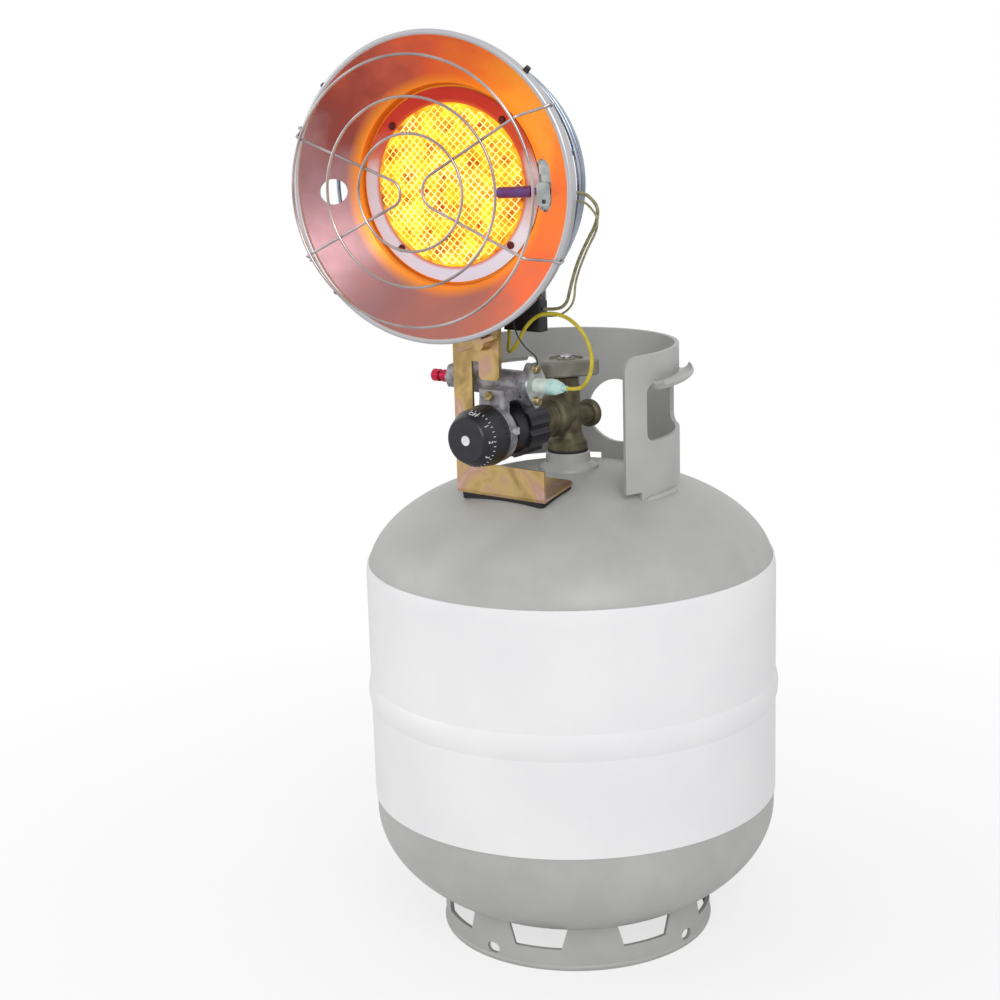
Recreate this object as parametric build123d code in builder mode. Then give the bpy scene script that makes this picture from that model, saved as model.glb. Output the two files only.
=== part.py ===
# A tank-top infrared propane heater standing on its gas cylinder.
# Millimetres, +Z up. The origin is on the cylinder's axis, level with the surface it stands on,
# and -Y is the way the cylinder valve's outlet and the regulator point.
from build123d import *
import math
import os

os.makedirs("parts", exist_ok=True)

# Driving dimensions ---------------------------------------------------------------------------

# Cylinder: a steel pressure vessel of two deep-drawn heads
body_radius = 154.5
wall = 2.8
girth_height = 195.0
lower_dome_start = 100.0
lower_dome_depth = 90.0
upper_dome_start = 285.0
upper_dome_depth = 78.0

# Foot ring, collar and sleeve
foot_radius = 104.5
foot_sheet = 3.0
foot_height = 36.0
collar_radius = 84.0
collar_sheet = 3.2
collar_top = 456.0
collar_middle = 96.5          # degrees from +X, the middle of the collar's wall
sleeve_bottom = 112.0
sleeve_top = 295.0

# Cylinder valve, on the cylinder's axis
boss_top = 375.0
outlet_height = 404.5
outlet_end = 56.0             # distance of the outlet's face from the cylinder's axis
stem_radius = 4.0
running_gap = 0.05

# Regulator, coaxial with the outlet; distances are counted from the cylinder's axis
nut_back, nut_front = 48.0, 80.0
nut_radius = 21.5
regulator_back, regulator_front = 82.0, 94.0
bonnet_radius = 21.0
knob_radius = 22.0
knob_back, knob_front = 97.8, 122.0

# Safety valve, lying across the regulator, along X
valve_y, valve_z = -66.0, 437.0
valve_radius = 9.5

# Bracket: a sheet steel foot and strap, and the plate that it is clamped to
bracket_sheet = 2.0
foot_front_y, foot_back_y = -80.0, -42.0
foot_left_x, foot_right_x = -43.0, 36.5
foot_slope = 11.0             # degrees, the fall of the cylinder's shoulder under the foot
strap_width = 17.0
wing_bolt_x, wing_bolt_z = -12.0, 468.0

# Head: the axis of the dish points a little to the right of the regulator
head_centre = (-24.0, -122.5, 579.0)
head_turn = 12.3
head_roll = 2.5
rim_radius = 105.5
cup_radius = 58.0
grille_reach = 29.0


# Planes and axes ------------------------------------------------------------------------------

def direction(turn, rise=0.0):
    """The unit vector that is turned from +X about Z, and raised by an angle in degrees."""
    level = math.cos(math.radians(rise))
    return Vector(
        level * math.cos(math.radians(turn)),
        level * math.sin(math.radians(turn)),
        math.sin(math.radians(rise)),
    )


outlet_point = (0, 0, outlet_height)
outlet = Plane(origin=outlet_point, x_dir=(1, 0, 0), z_dir=(0, -1, 0))
outlet_section = Plane(origin=outlet_point, x_dir=(1, 0, 0), z_dir=(0, 0, -1))
outlet_axis = Axis(outlet_point, (0, -1, 0))

valve_point = (0, valve_y, valve_z)
valve = Plane(origin=valve_point, x_dir=(0, 1, 0), z_dir=(1, 0, 0))
valve_section = Plane(origin=valve_point, x_dir=(0, 0, 1), z_dir=(0, 1, 0))
valve_axis = Axis(valve_point, (1, 0, 0))

head = Plane(
    origin=head_centre,
    x_dir=direction(head_turn, head_roll),
    z_dir=direction(head_turn - 90),
)
head_section = Plane(origin=head_centre, x_dir=head.x_dir, z_dir=-head.y_dir)
head_axis = Axis(head_centre, head.z_dir)

sheet_front = Plane(origin=(0, foot_front_y, 0), x_dir=(1, 0, 0), z_dir=(0, -1, 0))


def in_head(x, y, forward):
    """A point given to the right, up and forward of the middle of the rim."""
    return head.from_local_coords(Vector(x, y, forward))


def spoke(turn):
    """The direction outwards from the head's axis, at an angle counted from its right side."""
    return head.x_dir * math.cos(math.radians(turn)) + head.y_dir * math.sin(math.radians(turn))


def turned_outline(plane, *points):
    """The closed half outline of a turned piece: radius and distance along its axis."""
    with BuildSketch(plane) as outline:
        with BuildLine():
            Polyline(*points, close=True)
        make_face()
    return outline.sketch


def shell_outline(radius, start, depth, rise):
    """Half of a tank head's section, filled to the axis, from the girth to the dome's pole."""
    with BuildSketch(Plane.XZ) as outline:
        with BuildLine():
            Polyline((0, girth_height), (radius, girth_height), (radius, start))
            EllipticalCenterArc((0, start), radius, depth, 0, arc_size=90 * rise)
            Line((0, start + rise * depth), (0, girth_height))
        make_face()
    return outline.sketch


def save(piece, name):
    """Name a finished piece and write it as its own file."""
    piece.part.label = name
    export_step(piece.part, f"parts/{name}.step")


# Cylinder -------------------------------------------------------------------------------------

backing_reach = 12.0
inner_radius = body_radius - wall

bottom_flat = lower_dome_start - lower_dome_depth + 0.1

with BuildPart() as lower_head:
    revolve(shell_outline(body_radius, lower_dome_start, lower_dome_depth, -1), Axis.Z)
    hollow = shell_outline(inner_radius, lower_dome_start, lower_dome_depth - wall, -1)
    revolve(hollow, Axis.Z, mode=Mode.SUBTRACT)
    # The turned-in lip that the upper head slips over before the two are welded
    with BuildSketch(Plane.XY.offset(girth_height - backing_reach)):
        Circle(inner_radius + 1)
        Circle(inner_radius - wall, mode=Mode.SUBTRACT)
    extrude(amount=backing_reach - 1)
    with BuildSketch(Plane.XY.offset(girth_height - backing_reach)):
        Circle(inner_radius - 0.1)
        Circle(inner_radius - wall, mode=Mode.SUBTRACT)
    extrude(amount=2 * backing_reach)
    # The draw punch's flat at the bottom, inside and out
    with BuildSketch(Plane.XY.offset(bottom_flat)):
        Circle(8)
    extrude(amount=wall + 0.3)
    with BuildSketch(Plane.XY.offset(bottom_flat)):
        Circle(20)
    extrude(amount=-5, mode=Mode.SUBTRACT)
save(lower_head, "lower_head")

spotface_radius = 23.0
spotface_height = upper_dome_start + upper_dome_depth - 2.0
spud_hole_radius = 15.0
bead_half_width, bead_rise = 5.0, 1.6

with BuildPart() as upper_head:
    revolve(shell_outline(body_radius, upper_dome_start, upper_dome_depth, 1), Axis.Z)
    hollow = shell_outline(inner_radius, upper_dome_start, upper_dome_depth - wall, 1)
    revolve(hollow, Axis.Z, mode=Mode.SUBTRACT)
    # The girth weld's bead
    with BuildSketch(Plane.XZ):
        with BuildLine():
            ThreePointArc(
                (body_radius, girth_height - bead_half_width),
                (body_radius + bead_rise, girth_height),
                (body_radius, girth_height + bead_half_width),
            )
            Line((body_radius, girth_height + bead_half_width), (body_radius, girth_height - bead_half_width))
        make_face()
    revolve(axis=Axis.Z)
    with BuildSketch(Plane.XY.offset(spotface_height)):
        Circle(spotface_radius)
    extrude(amount=10, mode=Mode.SUBTRACT)
    with BuildSketch(Plane.XY.offset(upper_dome_start)):
        Circle(spud_hole_radius)
    extrude(amount=100, mode=Mode.SUBTRACT)
save(upper_head, "upper_head")

sleeve_gap, sleeve_sheet = 0.1, 1.0
sleeve_bulge = bead_rise + 0.3


def sleeve_outline(gap):
    """The sleeve's section out to one of its faces, with the bulge over the girth weld."""
    radius = body_radius + gap
    with BuildSketch(Plane.XZ) as outline:
        with BuildLine():
            Polyline((0, girth_height), (radius, girth_height), (radius, upper_dome_start))
            EllipticalCenterArc((0, upper_dome_start), radius, upper_dome_depth + gap, 0, arc_size=90)
            Line((0, upper_dome_start + upper_dome_depth + gap), (0, girth_height))
        make_face()
        with BuildLine():
            Polyline(
                (0, girth_height), (0, sleeve_bottom), (radius, sleeve_bottom), (radius, girth_height),
                close=True,
            )
        make_face()
        with BuildLine():
            ThreePointArc(
                (radius, girth_height - 2 * bead_half_width),
                (radius + sleeve_bulge, girth_height),
                (radius, girth_height + 2 * bead_half_width),
            )
            Line((radius, girth_height + 2 * bead_half_width), (radius, girth_height - 2 * bead_half_width))
        make_face()
    return outline.sketch


with BuildPart() as label_sleeve:
    revolve(sleeve_outline(sleeve_gap + sleeve_sheet), Axis.Z)
    revolve(sleeve_outline(sleeve_gap), Axis.Z, mode=Mode.SUBTRACT)
    with BuildSketch(Plane.XY.offset(sleeve_top)):
        Circle(2 * body_radius)
    extrude(amount=100, mode=Mode.SUBTRACT)
save(label_sleeve, "label_sleeve")

# The foot ring is cut to the lower head's curve, and drained by notches under the head
lower_dome = revolve(shell_outline(body_radius, lower_dome_start, lower_dome_depth, -1), Axis.Z)
foot_bead = 1.6
notch_depth, notch_top, notch_bottom = 19.0, 47.0, 36.0
first_lug = -92.0
lug_hole_height, lug_hole_length, lug_hole_width = 9.5, 11.5, 8.0

with BuildPart() as foot_ring:
    band = turned_outline(
        Plane.XZ,
        (foot_radius - foot_sheet, 0),
        (foot_radius, 0),
        (foot_radius, foot_height),
        (foot_radius - foot_sheet, foot_height),
    )
    revolve(band, Axis.Z)
    with BuildSketch(Plane.XZ):
        with Locations((foot_radius - foot_sheet / 2, 2.4)):
            Circle(2.4)
    revolve(axis=Axis.Z)
    for quarter in range(4):
        lug = first_lug + 90 * quarter
        for turn in (lug + 21, lug + 67):
            window = Plane(origin=(0, 0, foot_height), x_dir=direction(turn + 90), z_dir=direction(turn))
            with BuildSketch(window.offset(foot_radius - 20)):
                with BuildLine():
                    Polyline(
                        (-notch_top / 2, 10),
                        (-notch_top / 2, 0),
                        (-notch_bottom / 2, -notch_depth),
                        (notch_bottom / 2, -notch_depth),
                        (notch_top / 2, 0),
                        (notch_top / 2, 10),
                        close=True,
                    )
                make_face()
            extrude(amount=40, mode=Mode.SUBTRACT)
        lug_plane = Plane(origin=(0, 0, lug_hole_height), x_dir=direction(lug + 90), z_dir=direction(lug))
        with BuildSketch(lug_plane.offset(foot_radius - 20)):
            SlotOverall(lug_hole_length, lug_hole_width)
        extrude(amount=40, mode=Mode.SUBTRACT)
    add(lower_dome, mode=Mode.SUBTRACT)
save(foot_ring, "foot_ring")

# The collar shields the valve. It is open at the front, and has two hand holes and a rear hole
collar_half_span = 121.0
hand_hole_offset, hand_hole_half_span = 76.5, 31.0
hand_hole_bottom, hand_hole_top = 392.5, 434.5
rear_hole_height, rear_hole_radius = 391.0, 25.0
arch_top = 356.5
collar_feet = (2.0, 90.0, 191.0)
collar_foot_half_span = 17.0
upper_dome = revolve(shell_outline(body_radius, upper_dome_start, upper_dome_depth, 1), Axis.Z)


def sector(start, end, reach):
    """A wedge of a circle between two angles in degrees, as a sketch about the origin."""
    with BuildSketch() as wedge:
        with BuildLine():
            Line((0, 0), direction(start) * reach)
            CenterArc((0, 0), reach, start, end - start)
            Line(direction(end) * reach, (0, 0))
        make_face()
    return wedge.sketch


def wall_arc(start, end, inner, outer):
    """The strip between two radii and two angles, as a sketch about the origin."""
    with BuildSketch() as strip:
        add(sector(start, end, outer))
        Circle(inner, mode=Mode.SUBTRACT)
    return strip.sketch


collar_start = collar_middle - collar_half_span
collar_end = collar_middle + collar_half_span
blank_bottom = 345.0          # the rolled sheet, before it is cut to the shoulder's curve
cutter_reach = 120.0          # past the collar's wall
cutter_margin = 10.0

with BuildPart() as collar:
    with BuildSketch(Plane.XY.offset(blank_bottom)):
        add(wall_arc(collar_start, collar_end, collar_radius - collar_sheet, collar_radius))
    extrude(amount=collar_top - blank_bottom)
    # Rounded front corners, seen from the side of each free edge
    end_edges = collar.edges().filter_by(lambda edge: abs(edge.length - collar_sheet) < 0.01)
    fillet(end_edges.group_by(Axis.Z)[-1], radius=11)
    # Open arches between the feet that are welded to the shoulder
    arch_starts = [collar_start - cutter_margin]
    arch_starts += [foot + collar_foot_half_span for foot in collar_feet]
    arch_ends = [foot - collar_foot_half_span for foot in collar_feet]
    arch_ends += [collar_end + cutter_margin]
    with BuildSketch(Plane.XY.offset(blank_bottom - cutter_margin)):
        for start, end in zip(arch_starts, arch_ends):
            add(sector(start, end, cutter_reach))
    extrude(amount=arch_top - blank_bottom + cutter_margin, mode=Mode.SUBTRACT)
    for side in (-1, 1):
        hole_middle = collar_middle + side * hand_hole_offset
        with BuildSketch(Plane.XY.offset(hand_hole_bottom)):
            add(sector(hole_middle - hand_hole_half_span, hole_middle + hand_hole_half_span, cutter_reach))
        extrude(amount=hand_hole_top - hand_hole_bottom, mode=Mode.SUBTRACT)
    corners = collar.edges().filter_by(
        lambda edge: abs(edge.length - collar_sheet) < 0.01
        and hand_hole_bottom - 1 < edge.center().Z < hand_hole_top + 1
    )
    fillet(corners, radius=7)
    rear = Plane(
        origin=(0, 0, rear_hole_height),
        x_dir=direction(collar_middle + 90),
        z_dir=direction(collar_middle),
    )
    with BuildSketch(rear.offset(collar_radius - 20)):
        Circle(rear_hole_radius)
    extrude(amount=40, mode=Mode.SUBTRACT)
    # The top edge of each hand hole is rolled outwards into a grip
    for side in (-1, 1):
        hole_middle = collar_middle + side * hand_hole_offset
        grip_start = direction(hole_middle - hand_hole_half_span + 5)
        grip_normal = grip_start.cross(Vector(0, 0, 1))
        with BuildSketch(Plane(origin=(0, 0, hand_hole_top), x_dir=grip_start, z_dir=grip_normal)):
            with BuildLine():
                grip_inner = ThreePointArc(
                    (collar_radius - collar_sheet, 2), (collar_radius + 2, -3.6), (collar_radius + 11, 0.5)
                )
                grip_tip = Line(grip_inner @ 1, (collar_radius + 9.6, 3.2))
                grip_outer = ThreePointArc(
                    grip_tip @ 1, (collar_radius + 2, -0.6), (collar_radius - 0.4, 2)
                )
                Line(grip_outer @ 1, grip_inner @ 0)
            make_face()
        revolve(axis=Axis.Z, revolution_arc=2 * hand_hole_half_span - 10)
    add(upper_dome, mode=Mode.SUBTRACT)
save(collar, "collar")

# Cylinder valve -------------------------------------------------------------------------------

spud_radius = 11.5
body_half_width = 10.0
body_bottom, body_top = 386.0, 425.0
relief_height, relief_reach = 399.0, 31.0
bleed_height = 392.0
outlet_bore = 5.0

with BuildPart() as valve_boss:
    flange = turned_outline(
        Plane.XZ,
        (spud_radius, 354),
        (spud_hole_radius, 354),
        (spud_hole_radius, spotface_height),
        (spotface_radius, spotface_height),
        (spotface_radius - 1, spotface_height + 3),
        (17, spotface_height + 6.5),
        (16.5, boss_top - 1),
        (15.5, boss_top),
        (spud_radius, boss_top),
    )
    revolve(flange, Axis.Z)
save(valve_boss, "valve_boss")

with BuildPart() as valve_o_ring:
    ring = turned_outline(
        Plane.XZ,
        (spud_radius, boss_top),
        (15.0, boss_top),
        (15.3, boss_top + 1),
        (15.0, boss_top + 2),
        (spud_radius, boss_top + 2),
    )
    revolve(ring, Axis.Z)
save(valve_o_ring, "valve_o_ring")

with BuildPart() as tank_valve_body:
    forging = turned_outline(
        Plane.XZ,
        (0, 356),
        (spud_radius, 356),
        (spud_radius, boss_top + 2),
        (14.7, boss_top + 2),
        (14.7, body_bottom - 3),
        (12, body_bottom),
        (body_half_width + 1, body_bottom + 4),
        (body_half_width, body_top - 12),
        (body_half_width, body_top),
        (0, body_top),
    )
    revolve(forging, Axis.Z)
    neck = turned_outline(
        outlet_section,
        (0, 0),
        (11, 0),
        (11, 12),
        (15.5, 14),
        (15.5, 22),
        (13.2, 24),
        (13.2, 28),
        (15, 30),
        (15, outlet_end - 2),
        (13.5, outlet_end),
        (0, outlet_end),
    )
    revolve(neck, outlet_axis)
    # Grooves of the coarse outside thread that the coupling nut runs on
    for groove in range(6):
        station = 32.5 + 4 * groove
        cut = turned_outline(
            outlet_section, (13.8, station), (16, station - 1.1), (16, station + 1.1)
        )
        revolve(cut, outlet_axis, mode=Mode.SUBTRACT)
    with BuildSketch(Plane(origin=(0, 0, relief_height), x_dir=(-1, 0, 0), z_dir=(0, 1, 0))):
        Circle(7.2)
    extrude(amount=relief_reach - 6)
    # Gas way from the vessel to the outlet, the stem's bore, and the relief port
    with BuildSketch(Plane.XY.offset(350)):
        Circle(3.5)
    extrude(amount=outlet_height - 350, mode=Mode.SUBTRACT)
    with BuildSketch(Plane.XY.offset(outlet_height)):
        Circle(stem_radius + running_gap)
    extrude(amount=40, mode=Mode.SUBTRACT)
    with BuildSketch(outlet):
        Circle(outlet_bore)
    extrude(amount=outlet_end + 1, mode=Mode.SUBTRACT)
    with BuildSketch(Plane(origin=(0, 0, relief_height), x_dir=(-1, 0, 0), z_dir=(0, 1, 0))):
        Circle(3.0)
    extrude(amount=relief_reach, mode=Mode.SUBTRACT)
    # Threaded hole for the bleed screw
    with BuildSketch(Plane(origin=(0, 0, bleed_height), x_dir=(0, 1, 0), z_dir=(-1, 0, 0))):
        Circle(2.0 + running_gap)
    extrude(amount=20, mode=Mode.SUBTRACT)
save(tank_valve_body, "tank_valve_body")

with BuildPart() as relief_valve:
    cap = turned_outline(
        Plane(origin=(0, 0, relief_height), x_dir=(1, 0, 0), z_dir=(0, 0, 1)),
        (0, relief_reach - 6),
        (8.5, relief_reach - 6),
        (10.5, relief_reach - 4.5),
        (10.5, relief_reach - 1),
        (9.5, relief_reach),
        (4.5, relief_reach),
        (4.5, relief_reach - 1.5),
        (0, relief_reach - 1.5),
    )
    revolve(cap, Axis((0, 0, relief_height), (0, 1, 0)))
save(relief_valve, "relief_valve")

with BuildPart() as bleed_screw:
    with BuildSketch(Plane(origin=(-6, 0, bleed_height), x_dir=(0, 1, 0), z_dir=(-1, 0, 0))):
        Circle(2.0)
    extrude(amount=8)
    with BuildSketch(Plane(origin=(-12.3, 0, bleed_height), x_dir=(0, 1, 0), z_dir=(-1, 0, 0))):
        Circle(3.6)
    extrude(amount=2.7)
    with BuildSketch(Plane(origin=(-14.2, 0, bleed_height), x_dir=(0, 1, 0), z_dir=(-1, 0, 0))):
        Rectangle(8, 0.9)
    extrude(amount=2, mode=Mode.SUBTRACT)
save(bleed_screw, "bleed_screw")

packing_top = 432.0

with BuildPart() as packing_nut:
    with BuildSketch(Plane.XY.offset(body_top)):
        RegularPolygon(9.0, 6, major_radius=False)
    extrude(amount=packing_top - body_top)
    chamfer(packing_nut.faces().sort_by(Axis.Z)[-1].edges(), length=0.8)
    with BuildSketch(Plane.XY.offset(body_top)):
        Circle(stem_radius + running_gap)
    extrude(amount=20, mode=Mode.SUBTRACT)
save(packing_nut, "packing_nut")

wheel_bottom, wheel_top = 433.5, 445.5
wheel_reach, wheel_corner = 25.0, 9.0
seat_height = outlet_height + 6.5

with BuildPart() as valve_stem:
    spindle = turned_outline(
        Plane.XZ,
        (0, seat_height),
        (2.4, seat_height),
        (stem_radius, seat_height + 1.6),
        (stem_radius, wheel_bottom),
        (3.0, wheel_bottom),
        (3.0, wheel_top),
        (0, wheel_top),
    )
    revolve(spindle, Axis.Z)
save(valve_stem, "valve_stem")

with BuildPart() as valve_handwheel:
    with BuildSketch(Plane.XY.offset(wheel_bottom)) as wheel_plan:
        RegularPolygon(wheel_reach + wheel_corner, 3, rotation=20)
        fillet(wheel_plan.vertices(), radius=wheel_corner)
    extrude(amount=wheel_top - wheel_bottom)
    chamfer(valve_handwheel.edges().group_by(Axis.Z)[-1], length=1.6)
    chamfer(valve_handwheel.edges().group_by(Axis.Z)[0], length=1.2)
    with BuildSketch(Plane.XY.offset(wheel_top - 2)):
        Circle(13)
        Circle(6.5, mode=Mode.SUBTRACT)
    extrude(amount=4, mode=Mode.SUBTRACT)
    with BuildSketch(Plane.XY.offset(wheel_bottom)):
        Circle(3.0)
    extrude(amount=20, mode=Mode.SUBTRACT)
save(valve_handwheel, "valve_handwheel")

with BuildPart() as handwheel_screw:
    with BuildSketch(Plane.XY.offset(wheel_top)):
        Circle(4.2)
    extrude(amount=1.8)
    fillet(handwheel_screw.edges().group_by(Axis.Z)[-1], radius=0.9)
    with BuildSketch(Plane.XY.offset(wheel_top + 1)):
        Rectangle(10, 1)
    extrude(amount=2, mode=Mode.SUBTRACT)
save(handwheel_screw, "handwheel_screw")

# Overfill stop, hanging inside the vessel under the valve
stop_radius, stop_bottom = 9.0, 318.0
pivot_height, pivot_radius = 324.0, 1.5
arm_hang, arm_length = 62.0, 78.0
float_radius, float_length = 9.5, 44.0
arm_end = direction(90, -arm_hang) * arm_length

with BuildPart() as overfill_stop:
    with BuildSketch(Plane.XY.offset(stop_bottom)):
        Circle(stop_radius)
    extrude(amount=356 - stop_bottom)
    with BuildSketch(Plane.XY.offset(330)):
        Circle(3.5)
    extrude(amount=30, mode=Mode.SUBTRACT)
    # Clevis for the float arm, and its fixed pin
    with BuildSketch(Plane.XY.offset(stop_bottom - 5)):
        Rectangle(5, 30)
    extrude(amount=20, mode=Mode.SUBTRACT)
    with BuildSketch(Plane(origin=(-7, 0, pivot_height), x_dir=(0, 1, 0), z_dir=(1, 0, 0))):
        Circle(pivot_radius)
    extrude(amount=14)
save(overfill_stop, "overfill_stop")

arm_plane = Plane(origin=(-2, 0, pivot_height), x_dir=(0, 1, 0), z_dir=(1, 0, 0))

with BuildPart() as float_arm:
    with BuildSketch(arm_plane):
        Circle(3.6)
    extrude(amount=4)
    with BuildSketch(
        Plane(origin=Vector(0, 0, pivot_height) + arm_end * 0.03, x_dir=(1, 0, 0), z_dir=arm_end.normalized())
    ):
        Circle(1.4)
    extrude(amount=arm_length * 0.97)
    with BuildSketch(arm_plane):
        Circle(pivot_radius + running_gap)
    extrude(amount=4, mode=Mode.SUBTRACT)
save(float_arm, "float_arm")

with BuildPart() as valve_float:
    with BuildSketch(
        Plane(
            origin=Vector(0, 0, pivot_height) + arm_end - arm_end.normalized() * 20,
            x_dir=(1, 0, 0),
            z_dir=arm_end.normalized(),
        )
    ):
        Circle(float_radius)
    extrude(amount=float_length)
    fillet(valve_float.edges().filter_by(GeomType.CIRCLE), radius=2)
    add(float_arm.part, mode=Mode.SUBTRACT)
save(valve_float, "valve_float")

# Regulator ------------------------------------------------------------------------------------

nipple_radius = 8.0
nut_lobes = 8
chamber_radius = 16.5
screw_circle, screw_radius = 18.4, 1.5
screw_back, screw_front = regulator_front - 3.0, regulator_front + 3.0
hub_radius, hub_front = 10.0, 112.0

with BuildPart() as coupling_nipple:
    nose = turned_outline(
        outlet_section,
        (0, 40),
        (4.4, 40),
        (outlet_bore, 43),
        (outlet_bore, outlet_end),
        (13.4, outlet_end),
        (13.4, 64),
        (nipple_radius, 66),
        (nipple_radius, regulator_back + 3),
        (0, regulator_back + 3),
    )
    revolve(nose, outlet_axis)
    with BuildSketch(outlet.offset(30)):
        Circle(2.4)
    extrude(amount=80, mode=Mode.SUBTRACT)
save(coupling_nipple, "coupling_nipple")

with BuildPart() as coupling_nut:
    with BuildSketch(outlet.offset(nut_back)):
        Circle(nut_radius)
        with PolarLocations(nut_radius + 3.0, nut_lobes):
            Circle(5.0, mode=Mode.SUBTRACT)
    extrude(amount=24)
    with BuildSketch(outlet.offset(nut_back + 24)):
        Circle(18.5)
    extrude(amount=nut_front - nut_back - 24, taper=18)
    fillet(coupling_nut.faces().sort_by(Axis.Y)[-1].outer_wire().edges(), radius=1.2)
    with BuildSketch(outlet.offset(nut_back)):
        Circle(15.35)
    extrude(amount=19, mode=Mode.SUBTRACT)
    with BuildSketch(outlet.offset(nut_back)):
        Circle(nipple_radius + running_gap)
    extrude(amount=60, mode=Mode.SUBTRACT)
save(coupling_nut, "coupling_nut")

gas_way = Plane(origin=(0, -88, outlet_height), x_dir=(1, 0, 0), z_dir=(0, 0, 1))
neck_width, neck_join = 22.0, 427.5

with BuildPart() as regulator_body:
    bowl = turned_outline(
        outlet_section,
        (0, regulator_back),
        (11, regulator_back),
        (13, regulator_back + 1.5),
        (19, regulator_back + 4),
        (bonnet_radius, regulator_back + 7),
        (bonnet_radius, regulator_front),
        (0, regulator_front),
    )
    revolve(bowl, outlet_axis)
    with BuildSketch(Plane.XY.offset(outlet_height + 6)):
        with Locations((0, -88)):
            RectangleRounded(neck_width, 11, 3)
    extrude(amount=neck_join - outlet_height - 6)
    with BuildSketch(outlet.offset(regulator_back + 6)):
        Circle(chamber_radius)
    extrude(amount=20, mode=Mode.SUBTRACT)
    with BuildSketch(outlet.offset(regulator_back)):
        Circle(nipple_radius)
    extrude(amount=3, mode=Mode.SUBTRACT)
    with BuildSketch(outlet.offset(regulator_back)):
        Circle(2.4)
    extrude(amount=20, mode=Mode.SUBTRACT)
    with BuildSketch(gas_way.offset(10)):
        Circle(2.0)
    extrude(amount=40, mode=Mode.SUBTRACT)
    with BuildSketch(outlet.offset(screw_back)):
        with PolarLocations(screw_circle, 4, start_angle=45):
            Circle(screw_radius)
    extrude(amount=10, mode=Mode.SUBTRACT)
save(regulator_body, "regulator_body")

diaphragm_back = regulator_front - 2.5

with BuildPart() as diaphragm:
    with BuildSketch(outlet.offset(diaphragm_back)):
        Circle(chamber_radius)
    extrude(amount=1)
    with BuildSketch(outlet.offset(diaphragm_back + 1)):
        Circle(6)
    extrude(amount=1.5)
save(diaphragm, "diaphragm")

with BuildPart() as regulator_bonnet:
    tube = turned_outline(
        outlet_section,
        (0, regulator_front),
        (bonnet_radius, regulator_front),
        (bonnet_radius, regulator_front + 2),
        (bonnet_radius - 1, regulator_front + 3),
        (hub_radius, regulator_front + 3),
        (hub_radius, hub_front),
        (0, hub_front),
    )
    revolve(tube, outlet_axis)
    with BuildSketch(outlet.offset(regulator_front)):
        Circle(7.5)
        with PolarLocations(screw_circle, 4, start_angle=45):
            Circle(screw_radius)
    extrude(amount=hub_front - regulator_front - 2, mode=Mode.SUBTRACT)
save(regulator_bonnet, "regulator_bonnet")

spring_coil_radius, spring_wire = 5.0, 0.9
spring_start, spring_end = regulator_front + 0.6, hub_front - 3.6

with BuildPart() as regulator_spring:
    with BuildLine() as coil:
        Helix(
            pitch=3.0,
            height=spring_end - spring_start - 2 * spring_wire,
            radius=spring_coil_radius,
            center=(0, -spring_start - spring_wire, outlet_height),
            direction=(0, -1, 0),
        )
    with BuildSketch(Plane(origin=coil.line @ 0, z_dir=coil.line % 0)):
        Circle(spring_wire)
    sweep(path=coil.line, is_frenet=True)
save(regulator_spring, "regulator_spring")

with BuildPart() as regulator_screws:
    with BuildSketch(outlet.offset(screw_back)):
        with PolarLocations(screw_circle, 4, start_angle=45):
            Circle(screw_radius)
    extrude(amount=screw_front - screw_back)
    with BuildSketch(outlet.offset(screw_front - 0.6)):
        with PolarLocations(screw_circle, 4, start_angle=45):
            Rectangle(4, 0.5)
    extrude(amount=1, mode=Mode.SUBTRACT)
save(regulator_screws, "regulator_screws")

skirt_back = regulator_front + 4.2

with BuildPart() as regulator_knob:
    grip = turned_outline(
        outlet_section,
        (hub_radius + running_gap, skirt_back + 8),
        (18.5, skirt_back + 8),
        (19.5, skirt_back),
        (knob_radius, skirt_back),
        (knob_radius, skirt_back + 2),
        (knob_radius - 1.4, knob_front - 9),
        (16.6, knob_front - 1),
        (15.6, knob_front),
        (0, knob_front),
        (0, hub_front + 1),
        (hub_radius + running_gap, hub_front + 1),
    )
    revolve(grip, outlet_axis)
    # Finger grooves round the skirt
    with BuildSketch(outlet.offset(skirt_back + 3)):
        with PolarLocations(knob_radius + 0.6, 36):
            Circle(1.15)
    extrude(amount=knob_front - 9 - skirt_back - 3, mode=Mode.SUBTRACT)
    with BuildSketch(outlet.offset(knob_front - 0.8)):
        Circle(3.7)
    extrude(amount=2, mode=Mode.SUBTRACT)
save(regulator_knob, "regulator_knob")

with BuildPart() as dial_pointer:
    with BuildSketch(Plane(origin=(bonnet_radius, 0, outlet_height + 4), x_dir=(0, -1, 0), z_dir=(1, 0, 0))):
        with BuildLine():
            Polyline(
                (regulator_back + 8, -2.5),
                (regulator_front, -2.5),
                (regulator_front + 3.8, 0),
                (regulator_front, 2.5),
                (regulator_back + 8, 2.5),
                close=True,
            )
        make_face()
    extrude(amount=2.6)
save(dial_pointer, "dial_pointer")

# Safety valve ---------------------------------------------------------------------------------

tube_left, flange_left, flange_right = -50.0, 14.0, 20.0
valve_bore = 6.5
lug_spacing, lug_radius = 11.5, 4.3
mixing_x, mixing_y = -22.0, -63.0
mixing_radius, mixing_wall = 8.0, 1.0
jet_seat = 449.0


def lugged_plate(margin):
    """The outline shared by the valve's end flange and the plate that closes it."""
    with BuildSketch() as plate:
        with Locations((0, lug_spacing), (0, -lug_spacing)):
            Circle(lug_radius + margin)
        Circle(10.6 + margin)
        make_hull()
    return plate.sketch


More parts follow.
